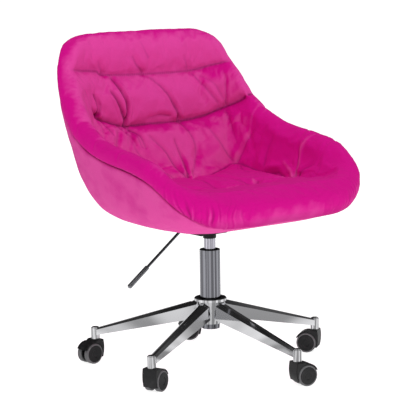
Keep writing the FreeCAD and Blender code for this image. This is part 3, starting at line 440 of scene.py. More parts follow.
def face_samples(bucket):
    """Points and normals all over the sitter's side, without its seams."""
    rings = [bucket.disc(bucket.seat_middle, share) for share in np.linspace(0.05, 0.95, 20)]
    rings += [bucket.seat(share) for share in np.linspace(0, 1, 90)]
    rings += [bucket.roll(share) for share in np.linspace(0.05, 1, 12)]
    grid = np.stack(rings)
    along = np.gradient(grid, axis=0)
    around = np.roll(grid, -1, axis=1) - np.roll(grid, 1, axis=1)
    normal = unit(np.cross(along, around))
    normal *= np.where(normal[0].mean(axis=0)[2] > 0, 1, -1)
    return grid.reshape(-1, 3), normal.reshape(-1, 3)


def rolled_share(mesh, bucket):
    """How far round the rolled rim each point lies: 0 on the sitter's side, 1 beneath."""
    rings = [(bucket.disc(bucket.seat_middle, share), 0) for share in np.linspace(0.1, 1, 8)]
    rings += [(bucket.seat(share), 0) for share in np.linspace(0.02, 0.98, 40)]
    rings += [(bucket.roll(share), share / 2) for share in np.linspace(0, 1.96, 22)]
    rings += [(bucket.layer(share, CUSHION_BED), 1) for share in np.linspace(0.93, 0, 30)]
    tree = KDTree(sum(len(ring) for ring, _ in rings))
    for ring, share in rings:
        for spot in ring:
            tree.insert(spot, int(share * 1000))
    tree.balance()
    result = []
    for spot in positions(mesh):
        found = tree.find_n(spot, 4)
        weights = [1 / (away + 1e-5) for _, _, away in found]
        result.append(sum(weight * share for weight, (_, share, _) in zip(weights, found))
                      / sum(weights) / 1000)
    return np.array(result)


def falling(values, start, end):
    """1 up to the start, easing to 0 at the end."""
    share = np.clip((values - start) / (end - start), 0, 1)
    return 1 - share * share * (3 - 2 * share)


def even_mesh(item, voxel):
    remesh = item.modifiers.new("even", "REMESH")
    remesh.mode = "VOXEL"
    remesh.voxel_size = voxel
    remesh.adaptivity = 0
    return applied(item)


def settle(item, held, pressure, slack, most):
    """Cloth over its filling: the held points stay, and no other point moves more than most."""
    mesh = item.data
    start = positions(mesh)
    item.vertex_groups.new(name="held").add(held.tolist(), 1.0, "REPLACE")
    cloth = item.modifiers.new("cloth", "CLOTH")
    settings = cloth.settings
    settings.quality = 4
    settings.mass = 0.3
    settings.tension_stiffness = 18
    settings.compression_stiffness = 18
    settings.shear_stiffness = 8
    settings.bending_stiffness = 0.6
    settings.use_pressure = True
    settings.uniform_pressure_force = pressure
    settings.shrink_min = -slack
    settings.vertex_group_mass = "held"
    settings.effector_weights.gravity = 0
    cloth.collision_settings.use_collision = False
    cloth.point_cache.frame_start = 1
    cloth.point_cache.frame_end = CLOTH_FRAMES
    scene = bpy.context.scene
    for number in range(1, CLOTH_FRAMES + 1):
        scene.frame_set(number)
    mesh = applied(item)
    scene.frame_set(1)
    moved = positions(mesh) - start
    length = np.linalg.norm(moved, axis=1, keepdims=True)
    set_positions(mesh, start + moved * np.minimum(1, most / np.maximum(length, 1e-9)))
    item.vertex_groups.clear()


# ---------------------------------------------------------------------------------------------
# Materials
# ---------------------------------------------------------------------------------------------
class Finish:
    """A procedural material: a Principled shader and the nodes that vary it."""

    def __init__(self, name, colour, roughness, metallic=0.0, **uniform):
        self.material = bpy.data.materials.new(name)
        self.material.use_nodes = True
        self.tree = self.material.node_tree
        self.shader = self.tree.nodes["Principled BSDF"]
        self.colour = tuple(colour) + (1,)
        self.put("Base Color", self.colour)
        self.put("Roughness", roughness)
        self.put("Metallic", metallic)
        for socket, value in uniform.items():
            words = socket.replace("_", " ").title().replace("Ior", "IOR")
            self.put(words, value)

    def put(self, socket, value):
        self.shader.inputs[socket].default_value = value

    def add(self, kind, **values):
        node = self.tree.nodes.new(kind)
        for name, value in values.items():
            if name in node.inputs:
                node.inputs[name].default_value = value
            else:
                setattr(node, name, value)
        return node

    def join(self, start, end):
        self.tree.links.new(start, end)

    def place(self):
        """The point on the object, which every pattern is laid out by."""
        return self.add("ShaderNodeTexCoord").outputs["Object"]

    def noise(self, scale, detail=2.0, roughness=0.5, stretch=None):
        node = self.add("ShaderNodeTexNoise", Scale=scale, Detail=detail, Roughness=roughness)
        where = self.place()
        if stretch is not None:
            mapping = self.add("ShaderNodeMapping", Scale=stretch)
            self.join(where, mapping.inputs["Vector"])
            where = mapping.outputs["Vector"]
        self.join(where, node.inputs["Vector"])
        return node.outputs["Fac"]

    def value(self, name):
        """A value that the mesh carries at each vertex."""
        return self.add("ShaderNodeAttribute", attribute_name=name).outputs["Fac"]

    def spread(self, value, low, high, start=0.0, end=1.0):
        node = self.add("ShaderNodeMapRange")
        for name, number in (("From Min", start), ("From Max", end),
                             ("To Min", low), ("To Max", high)):
            node.inputs[name].default_value = number
        self.join(value, node.inputs["Value"])
        return node.outputs["Result"]

    def mixed(self, share, first, second):
        """A colour between two, where either may be another node's output."""
        node = self.add("ShaderNodeMix", data_type="RGBA")
        self.join(share, node.inputs[0])
        for colour, socket in ((first, node.inputs[6]), (second, node.inputs[7])):
            if isinstance(colour, tuple):
                socket.default_value = colour + (1,)
            else:
                self.join(colour, socket)
        return node.outputs[2]

    def coloured(self, output):
        self.join(output, self.shader.inputs["Base Color"])

    def roughened(self, output):
        self.join(output, self.shader.inputs["Roughness"])

    def bumped(self, height, distance, strength=1.0):
        node = self.add("ShaderNodeBump", Strength=strength, Distance=distance)
        self.join(height, node.inputs["Height"])
        self.join(node.outputs["Normal"], self.shader.inputs["Normal"])


def velvet(name, deep, lit, shade, sheen):
    """Cut pile: painted light and shade mixed from the mesh's values, painted shade in the folds,
    random grain flecks and a soft sheen.
    """
    finish = Finish(name, deep, 0.85, specular_ior_level=0.12, sheen_weight=sheen,
                    sheen_roughness=0.34, sheen_tint=(1.0, 0.28, 0.70, 1.0))
    # Painted light: the mesh's share of lit against shaded pile, with random tone noise added.
    brushed = finish.add("ShaderNodeMath", operation="ADD")
    finish.join(finish.value("painted_light_and_nap"), brushed.inputs[0])
    finish.join(finish.spread(finish.noise(26, 5, 0.62), -0.17, 0.17, 0.3, 0.7), brushed.inputs[1])
    share = finish.spread(brushed.outputs[0], 0, 1, 0.12, 0.88)
    pile = finish.mixed(share, deep, lit)
    # Painted shade in the folds and under the seat, from the mesh's fold values.
    pile_with_painted_shade = finish.mixed(finish.spread(finish.value("fold"), 0, 0.85), pile, shade)
    grain = finish.mixed(finish.spread(finish.noise(900, 2, 0.7), 0, 0.16, 0.35, 0.75),
                         pile_with_painted_shade, shade)
    finish.coloured(grain)
    finish.bumped(finish.noise(700, 3, 0.7), 0.0005, 0.5)
    return finish.material


def chrome(name, colour, roughness, handling=0.06):
    """Plated steel with faint handling marks and a slight ripple under the plate."""
    finish = Finish(name, colour, roughness, 1.0)
    marks = finish.noise(38, 6, 0.65)
    finish.roughened(finish.spread(marks, roughness, roughness + handling, 0.45, 0.8))
    finish.bumped(finish.noise(16, 1, 0.4), 0.0006, 0.12)
    return finish.material


def moulded(name, colour, worn, roughness, grain=0.00006):
    """Moulded nylon or rubber: a fine spark-eroded grain, scuffed a little paler."""
    finish = Finish(name, colour, roughness, specular_ior_level=0.4)
    scuffs = finish.noise(70, 5, 0.7)
    finish.coloured(finish.mixed(finish.spread(scuffs, 0, 1, 0.5, 0.85), colour, worn))
    finish.roughened(finish.spread(scuffs, roughness - 0.07, roughness + 0.1, 0.3, 0.7))
    finish.bumped(finish.noise(1500, 2, 0.6), grain)
    return finish.material


def coated_steel(name, colour, roughness):
    """Pressed steel under powder paint, with its orange peel."""
    finish = Finish(name, colour, roughness, 0.25)
    finish.bumped(finish.noise(420, 2, 0.5), 0.00008, 0.7)
    finish.roughened(finish.spread(finish.noise(55, 4), roughness - 0.06, roughness + 0.08))
    return finish.material


def zinc_steel(name, colour, roughness):
    """Bright zinc on turned or pressed steel."""
    finish = Finish(name, colour, roughness, 1.0)
    spangle = finish.noise(160, 4, 0.6)
    finish.roughened(finish.spread(spangle, roughness - 0.05, roughness + 0.12))
    finish.coloured(finish.mixed(spangle, colour, tuple(0.8 * part for part in colour)))
    return finish.material


def plywood(name):
    """Birch veneer with its long grain."""
    finish = Finish(name, (0.55, 0.38, 0.22), 0.6)
    grain = finish.noise(14, 6, 0.6, stretch=(1.0, 9.0, 9.0))
    finish.coloured(finish.mixed(grain, (0.60, 0.43, 0.26), (0.42, 0.27, 0.14)))
    finish.bumped(grain, 0.0002, 0.5)
    return finish.material


def finished(names, material):
    """Gives each named CAD node one material in place of its plain one."""
    for name in names:
        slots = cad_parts[name].data.materials
        if len(slots) == 0:
            slots.append(material)
        for number in range(len(slots)):
            slots[number] = material


# ---------------------------------------------------------------------------------------------
# Settings a user can change
# ---------------------------------------------------------------------------------------------
def colour_setting(name, text, default):
    return bpy.props.FloatVectorProperty(name=name, description=text, default=default,
                                         subtype="COLOR", size=3, min=0, max=1)


def length_setting(name, text, default):
    return bpy.props.FloatProperty(name=name, description=text, default=default, unit="LENGTH",
                                   min=0)


class UpholsterySettings(bpy.types.PropertyGroup):
    fullness: length_setting("Fullness", "How far the filling swells between the seams", 0.010)
    cloth_swell: length_setting("Cloth swell", "The most that the settled cloth moves", 0.006)
    cloth_voxel: length_setting("Cloth mesh", "Length of the cloth's mesh edges", 0.005)
    tuft_depth: length_setting("Tuft depth", "How deep each tuft is drawn", 0.002)
    tuft_radius: length_setting("Tuft radius", "How wide each tuft's dimple is", 0.012)
    gather_depth: length_setting("Gather depth", "Height of the gathers at the corners", 0.0012)
    cloth_pressure: bpy.props.FloatProperty(
        name="Filling pressure", description="Pressure that the filling puts on the cloth",
        default=3.0, min=0)
    cloth_slack: bpy.props.FloatProperty(
        name="Cloth slack", description="How much larger the cloth is cut than the filling",
        default=0.012, min=0, subtype="FACTOR")


class ColourSettings(bpy.types.PropertyGroup):
    # Painted light: lit and shaded copies of the cushion velvet and of the cover velvet, mixed by
    # painted light values on the mesh.
    pile_painted_shaded: colour_setting("Deep pile", "Velvet brushed against the light",
                              (0.680, 0.0, 0.258))
    pile_painted_lit: colour_setting("Lit pile", "Velvet brushed towards the light",
                             (0.790, 0.058, 0.360))
    # Painted shade down in folds and under the seat; the same colour also gives the pile's random
    # grain flecks.
    pile_shade: colour_setting("Pile in folds", "Velvet down in its folds",
                               (0.200, 0.0, 0.075))
    cover_painted_shaded: colour_setting("Cover, deep", "Outer cover brushed against the light",
                               (0.60, 0.008, 0.245))
    cover_painted_lit: colour_setting("Cover, lit", "Outer cover brushed towards the light",
                              (0.74, 0.07, 0.345))
    plate: colour_setting("Chrome", "Chromium plate", (0.78, 0.78, 0.80))
    tube_plate: colour_setting("Tube chrome", "Darker plate of the stand tube",
                               (0.29, 0.29, 0.32))
    nylon: colour_setting("Nylon", "Caster and collar mouldings", (0.010, 0.010, 0.011))
    tread: colour_setting("Tread", "Soft grey treads", (0.125, 0.125, 0.130))


# ---------------------------------------------------------------------------------------------
# Operators, one for each piece or group of like pieces
# ---------------------------------------------------------------------------------------------
class PieceOperator:
    bl_options = {"REGISTER", "UNDO"}

    def execute(self, context):
        self.build(context, context.scene.chair_upholstery, context.scene.chair_colours)
        return {"FINISHED"}


# How far from a seam or tuft the filling is still held down.
FILLING_REACH = 0.028
# How far round a seam and a tuft the cloth is held while it settles.
SEAM_GRIP = 0.004
TUFT_GRIP = 0.016
PUCKER_REACH = 0.10
PUCKER_HEIGHT = 0.0008
# Gathers: the corner's middle and spread, round from the front in radians; how high they reach;
# and how closely they follow each other, in radians of wave for each radian round.
CORNER_TURN = 0.86
CORNER_SPREAD = 0.30
GATHER_TOP = 0.437
GATHERS_PER_TURN = 150
PLEAT_DEPTH = 0.0022
PLEAT_WIDTH = 0.006
# Painted light and shade: cushion faces turned the first way get the lit pile colour, and cover
# faces turned the second way get the shaded pile and fold colour.
CUSHION_PAINTED_LIGHT_WAY = np.array([0.28, -0.80, -0.50])
COVER_PAINTED_SHADE_WAY = np.array([-0.15, -0.25, -0.95])
# Share of grazing sheen on the velvet.
SHEEN = 0.05
COVER_THICKNESS = 0.011


class InnerCushion(PieceOperator, bpy.types.Operator):
    """Upholsters the sitter's side: one cloth over foam, drawn down at its seams and tufts"""
    bl_idname = "styling_chair.inner_cushion"
    bl_label = "Inner cushion"

    def build(self, context, upholstery, colours):
        bucket = Bucket(320)
        mesh = ringed_mesh("inner_cushion_velvet", cushion_rings(bucket), bucket.seat_middle,
                           bucket.under_middle + UP * CUSHION_BED)
        item = add_object("inner_cushion_velvet", mesh)
        mesh = even_mesh(item, upholstery.cloth_voxel)
        face, face_normals = face_samples(Bucket(240))
        seams = [Crease(face, face_normals, guide, depth, width)
                 for guide, depth, width in SEAMS]
        tufts = [nearest_sample(face, face_normals, spot) for spot in TUFTS.values()]
        add_value(mesh, "rolled", rolled_share(mesh, Bucket(160)))
        self.draw_seams(mesh, seams, tufts, upholstery)
        settle(item, self.held_points(item.data, seams, tufts), upholstery.cloth_pressure,
               upholstery.cloth_slack, upholstery.cloth_swell)
        smooth = item.modifiers.new("finer", "SUBSURF")
        smooth.levels = smooth.render_levels = 1
        mesh = applied(item)
        self.draw_folds(mesh, face, face_normals, seams, tufts, upholstery)
        smooth_shaded(mesh)
        self.paint_pile_light(mesh)
        mesh.materials.clear()
        mesh.materials.append(velvet("cushion_velvet", tuple(colours.pile_painted_shaded),
                                     tuple(colours.pile_painted_lit), tuple(colours.pile_shade), SHEEN))
        item.visible_glossy = False
        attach(item, "seat")
        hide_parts("inner_cushion")

    def draw_seams(self, mesh, seams, tufts, upholstery):
        """Fills the panels out and draws the seams and tufts down between them."""
        points, normal = positions(mesh), normals(mesh)
        rolled = read_value(mesh, "rolled")
        reach = 0.09
        nearest = np.full(len(points), reach)
        lift = np.zeros(len(points))
        for seam in seams:
            near, away, _ = seam.measure(points, reach)
            nearest[near] = np.minimum(nearest[near], away)
        for seam in seams:
            seam.draw_down(points, lift)
        for spot, _ in tufts:
            away = np.linalg.norm(points - spot, axis=1)
            lift -= upholstery.tuft_depth * np.exp(-(away / upholstery.tuft_radius) ** 2)
            nearest = np.minimum(nearest, away)
        lift += upholstery.fullness * (1 - np.exp(-(nearest / FILLING_REACH) ** 1.2))
        set_positions(mesh, points + normal * (lift * falling(rolled, 0, 0.75))[:, None])

    def held_points(self, mesh, seams, tufts):
        points = positions(mesh)
        held = read_value(mesh, "rolled") > 0.3
        for seam in seams:
            near, away, _ = seam.measure(points, 0.03)
            held[near[away < SEAM_GRIP]] = True
        for spot, _ in tufts:
            held |= np.linalg.norm(points - spot, axis=1) < TUFT_GRIP
        return np.flatnonzero(held)

    def draw_folds(self, mesh, face, face_normals, seams, tufts, upholstery):
        points, normal = positions(mesh), normals(mesh)
        rolled = read_value(mesh, "rolled")
        # dark holds painted shade in creases, and light holds painted highlights on ridges.
        lift, dark, light, drawn_before = np.zeros((4, len(points)))
        for seam in seams:
            paint_crease_shade_and_highlight(seam.draw_down(points, drawn_before), dark, light)
        for guide, depth, end_depth, width in FOLDS:
            fold = Crease(face, face_normals, guide, depth, width, end_depth, FOLD_BANK)
            paint_crease_shade_and_highlight(fold.draw_down(points, lift), dark, light)
        for number, (spot, spot_normal) in enumerate(tufts):
            lift += self.pucker(points, spot, spot_normal, number)
        lift += 0.0007 * drift(points, 0.075, 11) + 0.0004 * drift(points, 0.03, 12)
        gathers = self.gathers(points)
        lift += upholstery.gather_depth * gathers
        # Painted highlight on the gathers' crests and painted shade in their troughs.
        light = np.maximum(light, np.clip(gathers, 0, 1))
        dark = np.maximum(dark, np.clip(-gathers, 0, 0.7))
        lift += self.rim_pleats(points)
        # Painted shade on faces turned down, stored with the crease shade as fold.
        underneath = 0.35 * np.clip((-normal[:, 2] - 0.25) / 0.5, 0, 1)
        add_value(mesh, "fold", np.maximum(dark, underneath))
        add_value(mesh, "light", light)
        set_positions(mesh, points + normal * (lift * falling(rolled, 0.65, 1.0))[:, None])

    def pucker(self, points, spot, spot_normal, seed):
        """Small wrinkles that run out of a tuft like rays."""
        random = np.random.default_rng(100 + seed)
        offset = points - spot
        away = np.linalg.norm(offset, axis=1)
        near = away < PUCKER_REACH
        across = unit(np.cross(spot_normal, (0.31, 0.17, 0.93)))
        other = np.cross(spot_normal, across)
        turn = np.arctan2(offset[near] @ other, offset[near] @ across)
        waves = sum(random.uniform(0.4, 1) * np.cos(count * turn + random.uniform(0, 6.28))
                    for count in (4, 5, 7, 9))
        result = np.zeros(len(points))
        result[near] = (PUCKER_HEIGHT * waves * (away[near] / 0.02)
                        * np.exp(-(away[near] / 0.026) ** 1.3))
        return result

    def gathers(self, points):
        """Close gathers square to the rim's seam, strongest round the two front corners."""
        x, y, z = points.T
        turn = np.arctan2(np.abs(x) / HALF_WIDTH, -(y - CENTRE_Y) / FRONT_REACH)
        corner = np.exp(-((turn - CORNER_TURN) / CORNER_SPREAD) ** 2)
        top = GATHER_TOP + 0.125 * np.maximum(turn - 0.8, 0)
        low = 1 / (1 + np.exp((z - top) / 0.012))
        far = np.hypot(x / HALF_WIDTH, (y - CENTRE_Y) / FRONT_REACH)
        outer = np.clip((far - 0.72) / 0.14, 0, 1)
        wander = 4.0 * drift(points, 0.11, 21) + 1.6 * drift(points, 0.045, 22)
        along = turn * GATHERS_PER_TURN + wander
        waves = np.sin(along) * 0.6 + np.sin(along * 1.63 + 1.0) * 0.4
        uneven = 0.65 + 0.35 * drift(points, 0.06, 23)
        return 1.3 * corner * low * outer * waves * uneven

    def rim_pleats(self, points):
        """Short pleats that cross the rolled rim of the arms."""
        x, y, _ = points.T
        lift = np.zeros(len(points))
        for side, place in RIM_PLEATS:
            on_arm = (x * side > 0.225) & (y < 0.2)
            bent = place + 0.10 * (x * side - 0.28)
            lift -= on_arm * PLEAT_DEPTH * np.exp(-((y - bent) / PLEAT_WIDTH) ** 2)
        return lift

    def paint_pile_light(self, mesh):
        """Painted light: lit pile on faces turned to the front, shaded pile on the seat, the arm
        and the front edge, plus random strokes of tone.
        """
        normal = normals(mesh)
        points = positions(mesh)
        # Painted light: faces turned towards the lit way get more of the lit pile colour.
        facing = normal @ CUSHION_PAINTED_LIGHT_WAY
        stroke = 0.10 * drift(points, 0.16, 31) + 0.06 * drift(points, 0.05, 32)
        turn = np.degrees(np.arctan2(points[:, 1] - CENTRE_Y, points[:, 0]))
        # Painted shade: the arm's inner side and the front edge are pushed towards the shaded pile.
        arm = np.clip((29 - turn) / 4, 0, 1) * (points[:, 0] > 0.1) * (normal[:, 0] < 0.2)
        arm *= np.clip((0.60 - points[:, 2]) / 0.05, 0, 1)
        front = 1.25 * np.clip((-0.16 - points[:, 1]) / 0.08, 0, 1)
        brushed = np.clip(0.5 + (facing - 0.16 + stroke) * 1.5 - 0.35 * arm - front, 0, 1)
        # Painted highlight: the ridge and gather highlights raise the lit share.
        add_value(mesh, "painted_light_and_nap", brushed + 0.9 * read_value(mesh, "light"))


def nearest_sample(face, face_normals, spot):
    index = int(np.argmin(((face - np.array(spot)) ** 2).sum(axis=1)))
    return face[index], face_normals[index]


class OuterCover(PieceOperator, bpy.types.Operator):
    """Stretches the outer cover from the rim's seam to the underside"""
    bl_idname = "styling_chair.outer_cover"
    bl_label = "Outer cover"

    def build(self, context, upholstery, colours):
        bucket = Bucket(288)
        rings = [bucket.disc(bucket.under_middle, share) for share in np.linspace(0.08, 0.95, 12)]
        rings += [bucket.layer(share, 0.0) for share in np.linspace(0, 0.975, 70)]
        rings += [bucket.layer(share, depth) for share, depth in
                  ((0.985, 0.0012), (0.993, 0.0035), (0.993, 0.007), (0.985, 0.010))]
        rings += [bucket.layer(share, COVER_THICKNESS) for share in np.linspace(0.97, 0, 40)]
        rings += [bucket.disc(bucket.under_middle + UP * COVER_THICKNESS, share)
                  for share in (0.8, 0.6, 0.4, 0.2)]
        mesh = ringed_mesh("outer_cover_velvet", rings, bucket.under_middle,
                           bucket.under_middle + UP * COVER_THICKNESS)
        item = add_object("outer_cover_velvet", mesh)
        points, normal = positions(mesh), normals(mesh)
        lift = 0.0009 * drift(points, 0.11, 41) + 0.0004 * drift(points, 0.04, 42)
        high = np.clip((points[:, 2] - UNDERSIDE - 0.006) / 0.02, 0, 1)
        set_positions(mesh, points + normal * (lift * high)[:, None])
        smooth_shaded(mesh)
        normal = normals(mesh)
        # Painted shade: faces turned down get more of the shaded pile colour and of the fold
        # colour; the strokes are random tone of the pile.
        facing = normal @ COVER_PAINTED_SHADE_WAY
        stroke = 0.12 * drift(points, 0.13, 43) + 0.10 * drift(points, 0.04, 44)
        add_value(mesh, "painted_light_and_nap", 0.62 - 0.35 * facing + stroke)
        add_value(mesh, "fold", 0.42 * np.clip((facing - 0.25) / 0.6, 0, 1))
        mesh.materials.append(velvet("cover_velvet", tuple(colours.cover_painted_shaded),
                                     tuple(colours.cover_painted_lit), tuple(colours.pile_shade), SHEEN))
        item.visible_glossy = False
        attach(item, "seat")
        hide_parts("outer_cover")
        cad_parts["seat_shell"].visible_glossy = False


class ChromedBase(PieceOperator, bpy.types.Operator):
    """Finishes the star base, its stand tube and the ring between them"""
    bl_idname = "styling_chair.chromed_base"
    bl_label = "Chromed base"

    def build(self, context, upholstery, colours):
        finished(["star_base"], chrome("base_chrome", tuple(colours.plate), 0.07))
        finished(["stand_tube"], chrome("tube_chrome", tuple(colours.tube_plate), 0.10))
        finished(["hub_ring", "guide_bush"],
                 moulded("collar_nylon", tuple(colours.nylon), (0.03, 0.03, 0.032), 0.42))
        finished(["thrust_bearing"], zinc_steel("bearing_steel", (0.55, 0.55, 0.56), 0.28))


class GasLift(PieceOperator, bpy.types.Operator):
    """Finishes the gas cylinder, its rod, buffer and clip, and the valve pin"""
    bl_idname = "styling_chair.gas_lift"
    bl_label = "Gas lift"

    def build(self, context, upholstery, colours):
        finished(["gas_cylinder", "piston_rod"],
                 chrome("lift_chrome", (0.62, 0.60, 0.68), 0.12))
        finished(["bumper"], moulded("buffer_rubber", (0.015, 0.015, 0.015),
                                     (0.04, 0.04, 0.04), 0.7))
        finished(["retaining_clip", "release_pin"],
                 zinc_steel("clip_steel", (0.50, 0.49, 0.47), 0.30))


class SeatMechanism(PieceOperator, bpy.types.Operator):
    """Finishes the seat plate, its bracket, taper socket and fixings"""
    bl_idname = "styling_chair.seat_mechanism"
    bl_label = "Seat mechanism"

    def build(self, context, upholstery, colours):
        finished(["seat_plate", "mechanism_bracket"],
                 coated_steel("painted_steel", (0.012, 0.012, 0.013), 0.38))
        finished(["taper_socket"],
                 moulded("socket_nylon", tuple(colours.nylon), (0.03, 0.03, 0.032), 0.45))
        finished(["seat_washers", "seat_bolts", "tee_nuts", "lever_pivot_pin"],
                 zinc_steel("fixing_zinc", (0.66, 0.66, 0.68), 0.27))
        finished(["seat_shell"], plywood("shell_ply"))


class ReleaseLever(PieceOperator, bpy.types.Operator):
    """Finishes the height lever and its grip"""
    bl_idname = "styling_chair.release_lever"
    bl_label = "Release lever"

    def build(self, context, upholstery, colours):
        finished(["lever_rod"], chrome("lever_chrome", (0.36, 0.36, 0.39), 0.16))
        finished(["lever_grip"], chrome("grip_chrome", (0.42, 0.42, 0.45), 0.24))


class Casters(PieceOperator, bpy.types.Operator):
    """Finishes the five twin-wheel casters"""
    bl_idname = "styling_chair.casters"
    bl_label = "Casters"

    def build(self, context, upholstery, colours):
        numbers = range(1, 6)
        pairs = ["%d%s" % (number, letter) for number in numbers for letter in "ab"]
        finished(["caster_hood_%d" % number for number in numbers],
                 moulded("hood_nylon", tuple(colours.nylon), (0.035, 0.035, 0.037), 0.36))
        finished(["caster_wheel_" + pair for pair in pairs],
                 moulded("wheel_nylon", tuple(colours.nylon), (0.03, 0.03, 0.032), 0.42))
        finished(["caster_tread_" + pair for pair in pairs],
                 moulded("tread_rubber", tuple(colours.tread), (0.20, 0.20, 0.205), 0.55,
                         0.00012))
        finished(["caster_stem_%d" % number for number in numbers]
                 + ["caster_axle_%d" % number for number in numbers],
                 zinc_steel("stem_zinc", (0.62, 0.62, 0.63), 0.25))


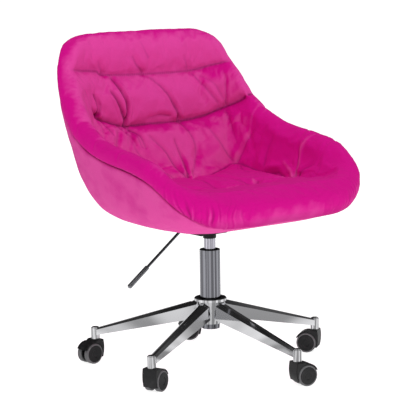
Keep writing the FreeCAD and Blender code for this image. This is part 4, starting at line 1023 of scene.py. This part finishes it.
class Stage(PieceOperator, bpy.types.Operator):
    """Sets the pale floor, the studio light and the camera"""
    bl_idname = "styling_chair.stage"
    bl_label = "Stage"

    AZIMUTH = -39.0
    ELEVATION = 9.088
    ROLL = -0.733
    DISTANCE = 4.3
    LENS = 152.55
    SENSOR = 36.0
    AIM_RIGHT = 0.00177
    AIM_HEIGHT = 0.3841
    FLOOR_RADIUS = 60.0
    LIT_POINT = (0, 0, 0.45)
    # Mirrored cards, as radius and height: floor, wall and ceiling.
    CARD_SECTION = ((0.06, 0.004), (1.2, 0.004), (1.2, 2.2), (0.02, 2.2))
    ROUND = 96

    def build(self, context, upholstery, colours):
        self.floor()
        self.camera(context.scene)
        self.sky(context.scene)
        self.reflected_walls()
        self.lamp("key", (-1.9, -2.6, 2.9), 2.2, 52)
        self.lamp("fill", (2.6, -2.2, 1.7), 2.0, 14)
        self.lamp("top", (0.1, 0.5, 3.4), 2.4, 16)
        context.scene.view_settings.view_transform = "Standard"

    def floor(self):
        turns = [2 * math.pi * number / self.ROUND for number in range(self.ROUND)]
        ring = [(self.FLOOR_RADIUS * math.cos(turn), self.FLOOR_RADIUS * math.sin(turn), 0)
                for turn in turns]
        mesh = bpy.data.meshes.new("studio_floor")
        mesh.from_pydata(ring, [], [tuple(range(self.ROUND))])
        finish = Finish("studio_paper", (0.55, 0.55, 0.55), 0.9, specular_ior_level=0.1,
                        emission_color=(1, 1, 1, 1), emission_strength=0.85)
        finish.bumped(finish.noise(30, 2), 0.0002, 0.2)
        mesh.materials.append(finish.material)
        add_object("studio_floor", mesh)

    def reflected_walls(self):
        """Dark and bright cards round the chair, which only the plated metal mirrors."""
        points, faces = [], []
        size = len(self.CARD_SECTION)
        for number in range(self.ROUND):
            turn = 2 * math.pi * number / self.ROUND
            points += [(radius * math.cos(turn), radius * math.sin(turn), level)
                       for radius, level in self.CARD_SECTION]
            low, following = size * number, size * ((number + 1) % self.ROUND)
            faces += [(low + step, following + step, following + step + 1, low + step + 1)
                      for step in range(size - 1)]
        mesh = bpy.data.meshes.new("reflected_walls")
        mesh.from_pydata(points, [], faces)
        finish = Finish("card", (0, 0, 0), 1.0, specular_ior_level=0.0, emission_strength=1.0)
        split = finish.add("ShaderNodeSeparateXYZ")
        finish.join(finish.place(), split.inputs[0])
        flat = finish.add("ShaderNodeVectorMath", operation="MULTIPLY")
        flat.inputs[1].default_value = (1, 1, 0)
        finish.join(finish.place(), flat.inputs[0])
        round_way = finish.add("ShaderNodeVectorMath", operation="NORMALIZE")
        finish.join(flat.outputs[0], round_way.inputs[0])
        noise = finish.add("ShaderNodeTexNoise", Scale=1.9, Detail=2.0, Roughness=0.6)
        finish.join(round_way.outputs[0], noise.inputs["Vector"])
        stripes = noise.outputs["Fac"]
        away = finish.add("ShaderNodeVectorMath", operation="LENGTH")
        finish.join(flat.outputs[0], away.inputs[0])
        low = finish.add("ShaderNodeMath", operation="MULTIPLY")
        finish.join(finish.spread(stripes, 0.42, 1.25, 0.42, 0.60), low.inputs[0])
        finish.join(finish.spread(away.outputs["Value"], 0.65, 1, 0.1, 1.0), low.inputs[1])
        high = finish.spread(stripes, 0.015, 0.10, 0.4, 0.6)
        step = finish.spread(split.outputs["Z"], 0, 1, 0.16, 0.24)
        mix = finish.add("ShaderNodeMix", data_type="FLOAT")
        for output, socket in ((step, 0), (low.outputs[0], 2), (high, 3)):
            finish.join(output, mix.inputs[socket])
        finish.join(mix.outputs[0], finish.shader.inputs["Emission Color"])
        mesh.materials.append(finish.material)
        walls = add_object("reflected_walls", mesh)
        walls.visible_camera = walls.visible_diffuse = walls.visible_shadow = False
        walls.visible_transmission = walls.visible_volume_scatter = False

    def camera(self, scene):
        turn, rise = math.radians(self.AZIMUTH), math.radians(self.ELEVATION)
        back = Vector((math.sin(turn) * math.cos(rise), -math.cos(turn) * math.cos(rise),
                       math.sin(rise)))
        right = Vector((math.cos(turn), math.sin(turn), 0))
        above = back.cross(right)
        target = right * self.AIM_RIGHT + Vector((0, 0, self.AIM_HEIGHT))
        basis = Matrix((right, above, back)).transposed().to_4x4()
        roll = Matrix.Rotation(math.radians(self.ROLL), 4, "Z")
        data = bpy.data.cameras.new("studio_camera")
        data.lens = self.LENS
        data.sensor_width = self.SENSOR
        data.clip_end = 200
        camera = bpy.data.objects.new("studio_camera", data)
        camera.matrix_world = Matrix.Translation(target + back * self.DISTANCE) @ basis @ roll
        scene.collection.objects.link(camera)
        scene.camera = camera

    def sky(self, scene):
        """Pale walls low down, a dark studio above with bright panels round it."""
        world = bpy.data.worlds.new("studio")
        scene.world = world
        world.use_nodes = True
        tree = world.node_tree
        shade = tree.nodes["Background"]
        where = tree.nodes.new("ShaderNodeTexCoord")
        split = tree.nodes.new("ShaderNodeSeparateXYZ")
        tree.links.new(where.outputs["Generated"], split.inputs[0])
        ramp = tree.nodes.new("ShaderNodeValToRGB")
        stops = ((0.0, 1.0), (0.50, 1.0), (0.515, 0.75), (0.54, 0.10), (0.64, 0.05),
                 (0.72, 0.35), (0.80, 0.95), (1.0, 0.75))
        band = ramp.color_ramp
        while len(band.elements) < len(stops):
            band.elements.new(0.5)
        for element, (place, level) in zip(band.elements, stops):
            element.position = place
            element.color = (level, level, level, 1)
        height = tree.nodes.new("ShaderNodeMapRange")
        height.inputs["From Min"].default_value = -1
        tree.links.new(split.outputs["Z"], height.inputs["Value"])
        tree.links.new(height.outputs["Result"], ramp.inputs["Fac"])
        tree.links.new(ramp.outputs["Color"], shade.inputs["Color"])
        shade.inputs["Strength"].default_value = 0.7

    def lamp(self, name, place, size, power):
        data = bpy.data.lights.new(name, "AREA")
        data.shape = "DISK"
        data.size = size
        data.energy = power
        lamp = bpy.data.objects.new(name, data)
        lamp.location = place
        towards = Vector(self.LIT_POINT) - Vector(place)
        lamp.rotation_euler = towards.to_track_quat("-Z", "Y").to_euler()
        bpy.context.scene.collection.objects.link(lamp)


class ChairPanel(bpy.types.Panel):
    """Lists the chair's pieces and their settings"""
    bl_idname = "VIEW3D_PT_styling_chair"
    bl_label = "Styling chair"
    bl_space_type = "VIEW_3D"
    bl_region_type = "UI"
    bl_category = "Styling chair"

    def draw(self, context):
        for operator in PIECES:
            self.layout.operator(operator.bl_idname)
        for settings in (context.scene.chair_upholstery, context.scene.chair_colours):
            box = self.layout.box()
            for name in settings.bl_rna.properties.keys():
                if name not in ("rna_type", "name"):
                    box.prop(settings, name)


PIECES = (Stage, InnerCushion, OuterCover, ChromedBase, GasLift, SeatMechanism, ReleaseLever,
          Casters)
CLASSES = (UpholsterySettings, ColourSettings) + PIECES + (ChairPanel,)


def register():
    for item in CLASSES:
        bpy.utils.register_class(item)
    bpy.types.Scene.chair_upholstery = bpy.props.PointerProperty(type=UpholsterySettings)
    bpy.types.Scene.chair_colours = bpy.props.PointerProperty(type=ColourSettings)


def unregister():
    del bpy.types.Scene.chair_colours
    del bpy.types.Scene.chair_upholstery
    for item in reversed(CLASSES):
        bpy.utils.unregister_class(item)


def main():
    register()
    for operator in PIECES:
        group, name = operator.bl_idname.split(".")
        getattr(getattr(bpy.ops, group), name)()


if __name__ == "__main__":
    main()
